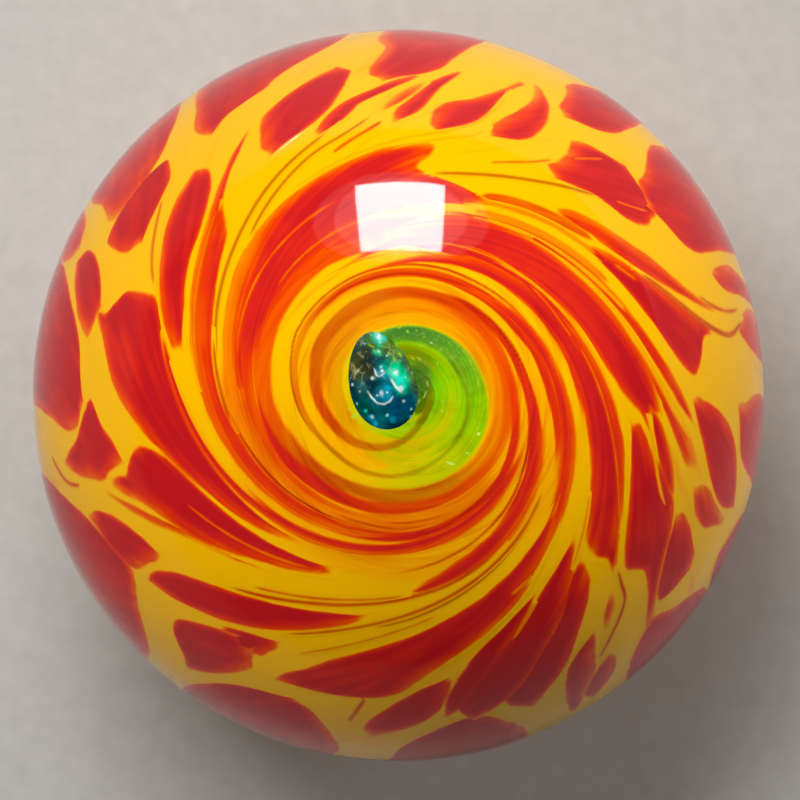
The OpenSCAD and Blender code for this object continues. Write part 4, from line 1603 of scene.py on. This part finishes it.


# The chip's fields of colour, from the broad ones to the small bright creases; the turquoise and white ones
# are painted glints
CHIP_FOIL_AND_GLINTS = (
    FleckOrGlint(Foil.OLIVE, ((-2.6, 2.7), (-2.4, 1.6), (-2.4, 0.7)), 1.1, 0.6),
    FleckOrGlint(Foil.MOSS, ((-1.9, 3.5), (-0.8, 2.9), (0.1, 2.3)), 0.9, 0.55),
    FleckOrGlint(Foil.MOSS, ((0.3, 2.2), (0.6, 1.4), (0.7, 0.6)), 0.4, 0.5),
    FleckOrGlint(Foil.OLIVE, ((0.6, 1), (0.75, 0.2)), 0.3, 0.4, 0.8),
    FleckOrGlint(Foil.OLIVE, ((-1.2, 2.5), (-0.9, 2)), 0.3, 0.4, 0.6),
    FleckOrGlint(Foil.PINE, ((-2.6, 0.2), (-2.1, -0.8), (-1.7, -1.3)), 0.5, 0.5),
    FleckOrGlint(Foil.DEEP, ((-0.6, 0.1), (-0.2, -0.6), (0, -1)), 0.9, 0.6),
    FleckOrGlint(Foil.INK, ((-1.3, -1.5), (-0.4, -1.6), (0.4, -1.3), (0.6, -0.5)), 0.3, 0.35),
    FleckOrGlint(Foil.INK, ((-1.9, 1), (-1.6, 0.5), (-1.7, 0.1)), 0.2, 0.35, 0.9),
    FleckOrGlint(Foil.INK, ((-2, 2), (-1.7, 1.6)), 0.3, 0.3, 0.6),
    FleckOrGlint(Foil.INK, ((-2.9, 1.3), (-2.7, 0.3), (-2.4, -0.4)), 0.1, 0.25, 0.8),
    FleckOrGlint(Foil.CYAN, ((-1.25, 0.35), (-1.05, 0.1), (-1.3, -0.1)), 0.25, 0.4, 0.85),
    FleckOrGlint(Foil.CYAN, ((-1, 0.9), (-1.2, 1.4)), 0.2, 0.3, 0.6),
    FleckOrGlint(Foil.CYAN, ((-0.9, 0.5),), 0.1, 0.25, 0.7),
    FleckOrGlint(Foil.EMERALD, ((-0.85, 1.6), (-0.5, 1.4), (-0.25, 0.9), (-0.15, 0.5)), 0.4, 0.4),
    FleckOrGlint(Foil.EMERALD, ((-1.6, 2.35), (-1.2, 2.25)), 0.08, 0.22, 0.9),
    FleckOrGlint(Foil.EMERALD, ((-1.45, 2.7), (-1.2, 2.6)), 0.05, 0.2, 0.7),
    # Painted glints: turquoise sparks on the creases, partly the foil's own turquoise
    FleckOrGlint(Foil.TURQUOISE_GLINT, ((-1.35, 3.1),), 0.36, 0.34),
    FleckOrGlint(Foil.TURQUOISE_GLINT, ((-0.6, 1.35), (-0.3, 0.85), (-0.15, 0.35)), 0.2, 0.25),
    FleckOrGlint(Foil.CYAN, ((-1.75, -1.05),), 0.14, 0.2),
    FleckOrGlint(Foil.CYAN, ((-1.55, -1.35),), 0.1, 0.16),
    FleckOrGlint(Foil.CYAN, ((-0.65, -1.15),), 0.1, 0.2, 0.6),
    FleckOrGlint(Foil.TURQUOISE_GLINT, ((-2.05, -0.7),), 0.04, 0.12, 0.8),
    FleckOrGlint(Foil.LIME, ((-1.9, 2.7), (-1.6, 2.55)), 0.02, 0.08, 0.8),
    FleckOrGlint(Foil.LIME, ((-0.62, 2.05), (-0.52, 1.85)), 0.03, 0.1, 0.9),
    FleckOrGlint(Foil.LIME, ((-0.35, 2.3), (-0.2, 2.05)), 0.02, 0.08, 0.8),
    FleckOrGlint(Foil.LIME, ((-0.5, 2.65), (-0.35, 2.6)), 0.02, 0.08, 0.7),
    FleckOrGlint(Foil.LIME, ((-0.9, 2.3), (-0.8, 2.15)), 0.02, 0.08, 0.7),
    FleckOrGlint(Foil.SAND, ((-2.85, 1.45), (-2.5, 1.3), (-2.35, 1.45)), 0.03, 0.08),
    FleckOrGlint(Foil.SAND, ((-2.75, 1.75), (-2.55, 1.4), (-2.65, 0.95)), 0.03, 0.08, 0.8),
    FleckOrGlint(Foil.SAND, ((-2.45, 2.3), (-2.2, 2.05)), 0.02, 0.08, 0.6),
    FleckOrGlint(Foil.SAND, ((-2.2, 2.95), (-2.3, 2.65)), 0.02, 0.08, 0.6),
    FleckOrGlint(Foil.SAND, ((-2, 1.75), (-1.85, 1.5)), 0.02, 0.08, 0.6),
    # Painted glints: near-white sparks and a bright arc on the creases
    FleckOrGlint(Foil.WHITE_GLINT, ((-1.45, 3.2), (-1.3, 3.05)), 0.12, 0.14),
    FleckOrGlint(Foil.WHITE_GLINT, ((-1.32, 2.82),), 0.03, 0.08, 0.8),
    FleckOrGlint(Foil.WHITE_GLINT, ((-1.42, 2.38), (-1.32, 2.32)), 0.03, 0.09, 0.8),
    FleckOrGlint(Foil.WHITE_GLINT, ((-0.54, 1.32), (-0.46, 1.22)), 0.08, 0.16),
    FleckOrGlint(Foil.WHITE_GLINT, ((-0.75, 0.95), (-0.5, 0.55), (-0.22, 0.27)), 0.03, 0.08),
    FleckOrGlint(Foil.WHITE_GLINT, ((-0.25, 0.55), (-0.22, 0.35)), 0.06, 0.12),
    FleckOrGlint(Foil.WHITE_GLINT, ((-1.62, 1.5), (-1.5, 1.15), (-1.38, 1.05)), 0.01, 0.06, 0.9),
    FleckOrGlint(Foil.WHITE_GLINT, ((-1.35, 1.05), (-1.05, 1.25)), 0.01, 0.05, 0.6),
    FleckOrGlint(Foil.WHITE_GLINT, (
        (-1.95, 0.32), (-1.75, 0), (-1.45, -0.3), (-1.1, -0.36), (-0.8, -0.2), (-0.65, 0.05),
    ), 0.02, 0.06),
    FleckOrGlint(Foil.WHITE_GLINT, ((-1.25, 0.3), (-1.2, 0.1)), 0.05, 0.12, 0.9),
    FleckOrGlint(Foil.WHITE_GLINT, ((-0.95, 0.25),), 0.02, 0.08, 0.8),
    FleckOrGlint(Foil.WHITE_GLINT, ((-1.45, 0.1),), 0.02, 0.08, 0.7),
    FleckOrGlint(Foil.WHITE_GLINT, ((-1.7, 0.98),), 0.05, 0.12, 0.7),
    FleckOrGlint(Foil.WHITE_GLINT, ((-1.2, 1.35),), 0.04, 0.12, 0.8),
    FleckOrGlint(Foil.WHITE_GLINT, ((-2.72, 0.65),), 0.03, 0.08, 0.8),
    FleckOrGlint(Foil.WHITE_GLINT, ((-2.35, 0.3),), 0.02, 0.07, 0.6),
    FleckOrGlint(Foil.WHITE_GLINT, ((-0.1, -0.2),), 0.03, 0.1, 0.6),
    FleckOrGlint(Foil.WHITE_GLINT, ((-2.1, 2.75),), 0.02, 0.07, 0.6),
    FleckOrGlint(Foil.WHITE_GLINT, ((-1.72, -1),), 0.03, 0.1, 0.9),
)

# The veil's sparks, painted glints of lime, white and lemon on its foil grains, and a few sand-coloured
# strokes: grains by its upper edge, strokes low on its right, and dashes low on its left
VEIL_GRAINS_AND_GLINTS = (
    FleckOrGlint(Foil.LIME, ((0.08, 3.42), (0.14, 3.32)), 0.04, 0.07, 0.8),
    FleckOrGlint(Foil.LIME, ((-0.4, 3.55), (-0.2, 3.6)), 0.02, 0.06, 0.6),
    FleckOrGlint(Foil.LIME, ((0.55, 3.45), (0.6, 3.38)), 0.02, 0.06, 0.6),
    FleckOrGlint(Foil.WHITE_GLINT, ((1.3, 2.82), (1.36, 2.76)), 0.03, 0.06, 0.7),
    FleckOrGlint(Foil.LIME, ((0.95, 3.1),), 0.02, 0.06, 0.6),
    FleckOrGlint(Foil.LIME, ((1.7, 3.15),), 0.02, 0.06, 0.6),
    FleckOrGlint(Foil.LIME, ((2.25, 2.8),), 0.02, 0.06, 0.6),
    FleckOrGlint(Foil.LIME, ((2.75, 2.3),), 0.02, 0.07, 0.5),
    FleckOrGlint(Foil.LIME, ((3.3, 1.85), (3.4, 1.6)), 0.02, 0.07, 0.4),
    FleckOrGlint(Foil.LIME, ((3.7, 1), (3.75, 0.5)), 0.02, 0.07, 0.4),
    FleckOrGlint(Foil.LIME, ((1.62, 1.8), (1.66, 1.66)), 0.02, 0.06, 0.7),
    FleckOrGlint(Foil.LIME, ((0.3, 2.05), (0.45, 1.95)), 0.02, 0.06, 0.7),
    FleckOrGlint(Foil.LIME, ((0.62, 2.05), (0.78, 1.9)), 0.02, 0.06, 0.7),
    FleckOrGlint(Foil.LIME, ((0.7, 2.7), (0.8, 2.6)), 0.02, 0.06, 0.5),
    FleckOrGlint(Foil.SAND, ((1.05, 0.3), (1, 0.1), (0.9, -0.05)), 0.02, 0.06, 0.8),
    FleckOrGlint(Foil.SAND, ((1.15, 0.85), (1.1, 0.7), (1.18, 0.55)), 0.02, 0.06, 0.7),
    FleckOrGlint(Foil.SAND, ((0.75, -0.1), (0.65, -0.3)), 0.02, 0.06, 0.6),
    FleckOrGlint(Foil.LIME, ((1.85, -0.1), (1.9, -0.3)), 0.03, 0.1, 0.45),
    FleckOrGlint(Foil.LEMON_GLINT, ((1.86, -0.65), (1.88, -0.75)), 0.03, 0.07, 0.6),
    FleckOrGlint(Foil.LEMON_GLINT, ((3.76, -1.88),), 0.08, 0.09, 0.95),
    FleckOrGlint(Foil.LEMON_GLINT, ((3.7, -1.6),), 0.02, 0.07, 0.6),
    FleckOrGlint(Foil.LEMON_GLINT, ((3.1, -2.85), (3.4, -2.93)), 0.02, 0.07, 0.8),
    FleckOrGlint(Foil.LEMON_GLINT, ((2.1, -3.3), (2.35, -3.42), (2.7, -3.5)), 0.03, 0.08, 0.9),
    FleckOrGlint(Foil.LEMON_GLINT, ((-2.15, -3.6), (-1.95, -3.58)), 0.03, 0.08, 0.6),
    FleckOrGlint(Foil.LEMON_GLINT, ((-2.15, -3.85), (-1.95, -3.85)), 0.05, 0.08, 0.6),
    FleckOrGlint(Foil.LEMON_GLINT, ((-2.15, -4.1), (-1.95, -4.12)), 0.03, 0.08, 0.5),
    FleckOrGlint(Foil.LIME, ((-2.95, -0.6),), 0.03, 0.1, 0.8),
    FleckOrGlint(Foil.LIME, ((-2.75, -0.95), (-2.6, -1.05)), 0.05, 0.15, 0.8),
    FleckOrGlint(Foil.LEMON_GLINT, ((-2.95, -1.05),), 0.03, 0.09, 0.9),
    FleckOrGlint(Foil.LEMON_GLINT, ((-2.5, -0.85),), 0.02, 0.07, 0.8),
)


@dataclass(frozen=True)
class VeilGlass(GroundGlass):
    """Thin clear green over the windings, with grains of sea-green foil sealed in it, and painted glints of
    foil.
    """

    def material(self) -> bpy.types.Material:
        """Makes the veil's material, which reads the windings, and the colour and cover of its sparks, which
        are painted glints.
        """
        recipe = Recipe(self.name)
        red, umber, green = recipe.read("melt", parts=True)
        sea, painted_glint, olive = recipe.read("tint", parts=True)
        _, reach = self.flow(recipe)
        red, umber = self.drawn(recipe, red, umber)
        lines = recipe.rise(self.rings(recipe, reach, 2.2), 0.3, 0.7, -0.13, 0.13)
        lines = recipe.times(lines, recipe.rise(green, 0.05, 0.4))
        green = recipe.math("ADD", green, lines, clamp=True)
        # Grains of foil 0.2 mm across, and clouds of olive 1 mm across
        grain = recipe.noise(recipe.place(), 4200.0, 3.0, 0.75)
        cloud = recipe.rise(recipe.noise(recipe.place(), 900.0, 2.0, 0.6), 0.42, 0.72, 0.0, 0.5)
        cloud = recipe.math("MAXIMUM", recipe.times(cloud, green), olive)
        umber = recipe.math("ADD", umber, cloud, clamp=True)
        colour = self.colour(recipe, red, umber, green)
        grains = recipe.ramp(grain, ((0.3, "1E5A32"), (0.5, "3C7828"), (0.62, "5F9632"), (0.8, "B4DC96")))
        shown = recipe.times(sea, recipe.rise(grain, 0.2, 0.6, 0.75, 1.0))
        colour = recipe.mix(shown, colour, grains)
        # The sparks, painted glints of the foil, lie over the colour
        colour = recipe.mix(painted_glint, colour, recipe.painted("foil"))
        recipe.glass(colour, self.roughness, Specular_IOR_Level=self.shine)
        return recipe.material


@dataclass(frozen=True)
class DichroicGlass:
    """Crumpled dichroic foil sealed in the glass: deep teal and blue, with painted glints of turquoise on its
    creases.
    """

    name: str = "crumpled dichroic foil in glass"

    def material(self) -> bpy.types.Material:
        """Makes the chip's material, which reads the foil's colour and where it is dusted and cracked."""
        recipe = Recipe(self.name)
        paint = recipe.painted("foil")
        dust, cracked, _ = recipe.read("tint", parts=True)
        place = recipe.place()
        # Crumples 0.6 mm across, painted darker and lighter as shade and sheen on their facets, and dust of
        # foil 0.15 mm across
        crumple = recipe.noise(place, 1500.0, 4.0, 0.7, 0.6)
        fine = recipe.noise(place, 6000.0, 2.0, 0.7)
        dark = recipe.mix(1.0, paint, linear("BEBEBE"), "MULTIPLY")
        light = recipe.mix(0.3, paint, paint, "SCREEN")
        base = recipe.mix(recipe.rise(crumple, 0.32, 0.72), dark, light)
        speck = recipe.times(recipe.rise(fine, 0.62, 0.74), dust)
        base = recipe.mix(speck, base, linear("BEE6A0"))
        # Cracks round flakes 0.7 mm across, and painted glints on flakes 0.3 mm across where the foil stands
        # up
        inputs = {"Vector": place, "Scale": 1400.0}
        cells = recipe.add("ShaderNodeTexVoronoi", inputs, feature="DISTANCE_TO_EDGE")
        crack = recipe.rise(cells.outputs["Distance"], 0.0, 0.05, 0.45, 0.0)
        cracked = recipe.times(recipe.rise(crumple, 0.46, 0.58), cracked)
        crack = recipe.times(crack, cracked)
        base = recipe.mix(crack, base, linear("A8C8A0"))
        flakes = recipe.add("ShaderNodeTexVoronoi", {"Vector": place, "Scale": 3200.0}, feature="F1")
        pick = recipe.add("ShaderNodeSeparateXYZ", {0: flakes.outputs["Color"]}).outputs[0]
        spot = recipe.rise(flakes.outputs["Distance"], 0.1, 0.4, 0.7, 0.0)
        glint_flake = recipe.times(recipe.rise(pick, 0.84, 0.94), spot)
        glint_flake = recipe.times(glint_flake, recipe.rise(crumple, 0.42, 0.55))
        base = recipe.mix(glint_flake, base, linear("8CF0E6"))
        recipe.glass(base, 0.045, Specular_IOR_Level=0.12)
        return recipe.material


@dataclass
class Eye:
    """The green veil at the pole and the teal chip that lies in it."""

    veil_near: float = 3.0
    veil_far: float = 4.4
    veil_start: float = 205.0
    veil_lag: float = 1.4
    veil_deep: float = 1.0
    veil_proud: float = 0.012
    chip_length: float = 5.1
    chip_width: float = 3.4
    chip_offset: float = 1.5
    chip_lon: float = 145.0
    chip_lean: float = 105.0
    chip_taper: float = 0.15
    chip_deep: float = 1.6
    chip_proud: float = 0.02

    def dome(self, name: str, centre: tuple[float, float], edge: Array, rings: int, proud: float,
             deep: float) -> tuple[Skin, Array]:
        """Lays a closed dome over an outline on the ball.

        Rings are the outline drawn in towards its centre. They are set on the ball's surface, then
        come back to the centre at the floor.

        Args:
            name: Name of the piece.
            centre: Its centre, x and y.
            edge: Points of its outline, x and y, counter-clockwise.
            rings: How many rings the upper side has.
            proud: How far it stands out of the ball.
            deep: How deep its floor lies.

        Returns:
            The mesh in the making, and x and y at each of its points.
        """
        share = np.concatenate([np.linspace(1.0 / rings, 1.0, rings), np.linspace(1.0, 0.5, 2)])
        level = np.concatenate([np.full(rings, proud), np.full(2, -deep)])
        middle = np.array(centre)
        flat = middle + share[:, None, None] * (edge - middle)[None]
        flat = np.concatenate([middle[None], flat.reshape(-1, 2), middle[None]])
        level = np.concatenate([[proud], np.repeat(level, len(edge)), [-deep]])
        reach = np.linalg.norm(flat, axis=1)
        lon = np.degrees(np.arctan2(flat[:, 1], flat[:, 0]))
        colat = np.degrees(np.arcsin(reach / BALL.radius))
        skin = Skin(name)
        skin.add(BALL.points(lon, colat, level), round_faces(rings + 2, len(edge)), {})
        return skin, np.stack([lon, colat], axis=-1)

    def paint(
        self, spots: Array, base: Foil, marks: tuple[FleckOrGlint, ...]
    ) -> tuple[Array, Array]:
        """Lays strokes of foil colour and painted glints over a plain field.

        Args:
            spots: x and y of the points, in millimetres.
            base: The field's colour.
            marks: The flecks, in the order in which they lie over each other.

        Returns:
            The colour at each point, and how far flecks cover it.
        """
        colour = np.tile(np.array(linear(base.value)[:3]), (len(spots), 1))
        covered = np.zeros(len(spots))
        for mark in marks:
            share = mark.cover(spots)
            colour += share[:, None] * (np.array(linear(mark.foil.value)[:3]) - colour)
            covered = covered + share * (1.0 - covered)
        return colour, covered

    def veil(self) -> bpy.types.Object:
        """Builds and dresses the veil, whose edge winds out from beside the chip.

        The edge's distance from the pole goes from near to far and back as half a sine wave of the
        share of the turn to the power of the lag.

        Returns:
            The finished piece.
        """
        turned = np.linspace(1.0, 0.0, 360, endpoint=False)
        angle = np.radians(self.veil_start - 360.0 * turned)
        reach = self.veil_near + (self.veil_far - self.veil_near) * np.sin(math.pi * turned**self.veil_lag)
        edge = np.stack([reach * np.cos(angle), reach * np.sin(angle)], axis=-1)
        skin, place = self.dome("green_veil_glass", (0.0, 0.0), edge, 90, self.veil_proud, self.veil_deep)
        lon, colat = place[:, 0] % 360.0, place[:, 1]
        reach = BALL.radius * np.sin(np.radians(colat))
        spots = np.stack([reach * np.cos(np.radians(lon)), reach * np.sin(np.radians(lon))], axis=-1)
        # Sea-green foil under the upper edge, a thinner sheet of it by the chip, and olive between them
        sea = np.interp(lon, (-5, 30, 60, 85, 125, 140), (0.0, 0.35, 0.8, 0.95, 0.95, 0.0))
        sea = sea * smooth(colat, 8.2, 9.6)
        sea = sea * (1.0 - smooth(colat - np.interp(lon, (30, 60, 110), (12.2, 11.4, 10.8)), -0.25, 0.3))
        beside = 1.0 - smooth(np.hypot(spots[:, 0] - 0.7, 0.7 * (spots[:, 1] - 1.0)), 0.3, 0.95)
        sea = np.maximum(sea, 0.5 * beside)
        olive = 0.45 * np.interp(lon, (20, 50, 80, 110, 130, 150), (0.0, 0.9, 1.0, 0.9, 0.5, 0.0))
        olive = olive * (1.0 - smooth(colat, 7.6, 9.0))
        # The sparks' colour and cover: mostly painted glints of the foil grains
        foil, cover = self.paint(spots, Foil.LIME, VEIL_GRAINS_AND_GLINTS)
        skin.values["melt"] = [RING.melt(lon, colat)]
        skin.values["tint"] = [np.stack([sea, cover, np.maximum(olive, 0.8 * beside)], axis=-1)]
        skin.values["foil"] = [foil]
        piece = skin.finish()
        piece.data.materials.append(VeilGlass("green veil glass", ringed=0.02).material())
        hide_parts("green_veil")
        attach(piece, "root")
        return piece

    def chip(self) -> bpy.types.Object:
        """Builds and dresses the teal chip, an oval that is narrower at one end.

        Along it the outline is half its length times a cosine, and across it half its width times a
        sine that the taper makes smaller towards one end. Both are turned by its lean.

        Returns:
            The finished piece.
        """
        angle = np.radians(np.linspace(0.0, 360.0, 200, endpoint=False))
        along = self.chip_length / 2.0 * np.cos(angle)
        aside = self.chip_width / 2.0 * np.sin(angle) * (1.0 - self.chip_taper * np.cos(angle))
        lean, lon = math.radians(self.chip_lean), math.radians(self.chip_lon)
        centre = (self.chip_offset * math.cos(lon), self.chip_offset * math.sin(lon))
        edge = np.stack(
            [
                centre[0] + along * math.cos(lean) - aside * math.sin(lean),
                centre[1] + along * math.sin(lean) + aside * math.cos(lean),
            ],
            axis=-1,
        )
        skin, place = self.dome("teal_foil_chip", centre, edge, 64, self.chip_proud, self.chip_deep)
        reach = BALL.radius * np.sin(np.radians(place[:, 1]))
        east = np.radians(place[:, 0])
        spots = np.stack([np.cos(east), np.sin(east)], axis=-1) * reach[:, None]
        # The foil's colour, with painted glints of turquoise and white on its creases
        foil, _ = self.paint(spots, Foil.TEAL, CHIP_FOIL_AND_GLINTS)
        dust = smooth(spots[:, 0] + 0.6 * spots[:, 1], 0.6, 1.6)
        cracked = smooth(spots[:, 1] - 0.3 * spots[:, 0], 0.6, 2.2)
        skin.values = {"foil": [foil], "tint": [np.stack([dust, cracked, 0.0 * dust], axis=-1)]}
        piece = skin.finish()
        piece.data.materials.append(DichroicGlass().material())
        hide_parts("teal_chip")
        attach(piece, "root")
        return piece


@dataclass
class Studio:
    """The camera, the lights and the pale floor."""

    far: float = 1.5
    disc: float = 365.5
    centre: tuple[float, float] = (398.5, 395.3)
    pole: tuple[float, float] = (405.5, 397.3)
    frame: float = 800.0
    sensor: float = 36.0
    level: float = 3.4
    soft_box: tuple[float, float] = (0.3, 0.3)

    def camera(self) -> None:
        """Places the camera over the swirl's pole, a little aside, so that the ball fills the frame."""
        radius = BALL.radius * METRE
        edge = radius / math.sqrt(self.far**2 - radius**2)
        half = edge * (self.frame / 2.0) / self.disc
        data = bpy.data.cameras.new("camera")
        data.sensor_width = self.sensor
        data.lens = self.sensor / 2.0 / half
        data.clip_start, data.clip_end = 0.01, 10.0
        away = Vector(
            (-(self.pole[0] - self.centre[0]) / self.disc, (self.pole[1] - self.centre[1]) / self.disc, 1.0)
        ).normalized()
        right = Vector((0.0, 1.0, 0.0)).cross(away).normalized()
        up = away.cross(right)
        pixel = 2.0 * half * self.far / self.frame
        aside = right * (self.frame / 2.0 - self.centre[0]) * pixel
        down = up * (self.centre[1] - self.frame / 2.0) * pixel
        camera = bpy.data.objects.new("camera", data)
        turn = Matrix((right, up, away)).transposed().to_4x4()
        turn.translation = away * self.far + aside + down
        camera.matrix_world = turn
        bpy.context.scene.collection.objects.link(camera)
        bpy.context.scene.camera = camera

    def lamp(self, name: str, direction: tuple[float, float, float], far: float, size: tuple[float, float],
             power: float, glossy: bool, diffuse: bool, shape: str = "RECTANGLE") -> None:
        """Hangs one soft box that faces the ball.

        Args:
            name: Its name.
            direction: Where it hangs from the ball.
            far: How far away, in metres.
            size: Its width and height, in metres.
            power: Watts.
            glossy: Whether the gloss shows it.
            diffuse: Whether it lights the colours.
            shape: RECTANGLE or ELLIPSE.
        """
        data = bpy.data.lights.new(name, "AREA")
        data.shape = shape
        data.size, data.size_y = size
        data.energy = power
        lamp = bpy.data.objects.new(name, data)
        away = Vector(direction).normalized()
        lamp.location = away * far
        lamp.rotation_mode = "QUATERNION"
        lamp.rotation_quaternion = away.to_track_quat("Z", "Y")
        lamp.visible_glossy = glossy
        lamp.visible_diffuse = diffuse
        bpy.context.scene.collection.objects.link(lamp)

    def toward(self, tilt: float, lon: float) -> tuple[float, float, float]:
        """Gives the direction that is tilted so many degrees from straight up, towards a longitude."""
        level, turn = math.radians(tilt), math.radians(lon)
        return (math.sin(level) * math.cos(turn), math.sin(level) * math.sin(turn), math.cos(level))

    def lights(self) -> None:
        """Hangs the lamps and sets the world's even fill."""
        self.lamp("key", self.toward(30, 120), 0.6, self.soft_box, self.level, False, True)
        self.lamp("side", self.toward(78, 30), 0.6, self.soft_box, 0.55 * self.level, False, True)
        self.lamp("left", self.toward(50, 200), 0.6, self.soft_box, 0.14 * self.level, False, True)
        window = self.toward(58, 90)
        self.lamp("window", window, 0.5, (0.205, 0.212), 11.0, True, False)
        self.lamp("curtain", window, 0.51, (0.33, 0.25), 0.8, True, False, "ELLIPSE")
        self.lamp("wall", window, 0.52, (0.46, 0.3), 0.8, True, False, "ELLIPSE")
        world = bpy.data.worlds.new("world")
        world.use_nodes = True
        world.node_tree.nodes["Background"].inputs["Color"].default_value = (1.0, 1.0, 1.0, 1.0)
        world.node_tree.nodes["Background"].inputs["Strength"].default_value = 0.06
        bpy.context.scene.world = world

    def floor(self) -> None:
        """Lays the pale floor that the ball rests on."""
        half = 0.6
        height = -BALL.radius * METRE
        mesh = bpy.data.meshes.new("floor")
        corners = [(-half, -half, height), (half, -half, height), (half, half, height), (-half, half, height)]
        mesh.from_pydata(corners, [], [(0, 1, 2, 3)])
        floor = bpy.data.objects.new("floor", mesh)
        bpy.context.scene.collection.objects.link(floor)
        recipe = Recipe("pale matt floor")
        speckle = recipe.noise(recipe.place(), 900.0, 3.0)
        recipe.glass(recipe.ramp(speckle, ((0.3, "B2B0AC"), (0.7, "BAB8B4"))), 0.8)
        mesh.materials.append(recipe.material)


def main() -> None:
    """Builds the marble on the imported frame, piece by piece."""
    logging.basicConfig(level=logging.INFO, format="%(name)s: %(message)s")
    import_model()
    bpy.context.scene.view_settings.view_transform = "Standard"
    studio = Studio()
    studio.camera()
    studio.lights()
    studio.floor()
    Ground().build()
    wound = AMBER + THREADS
    chips = CRIMSON + LOWER
    amber = Inlay(
        "amber_streaks", "amber_glass", "amber_streaks_wound", AMBER_GLASS, wound, deep=0.5, proud=0.002
    )
    scarlet = Inlay(
        "scarlet_arms", "scarlet_glass", "scarlet_swirl", SCARLET_GLASS, SCARLET, deep=0.8, proud=0.009
    )
    crimson = Inlay(
        "crimson_frit", "crimson_glass", "crimson_chips", CRIMSON_GLASS, chips, deep=1.2, proud=0.012
    )
    for inlay in (amber, scarlet, crimson):
        inlay.beside = [scarlet, crimson]
        inlay.build()
    eye = Eye()
    eye.veil()
    eye.chip()


if __name__ == "__main__":
    main()
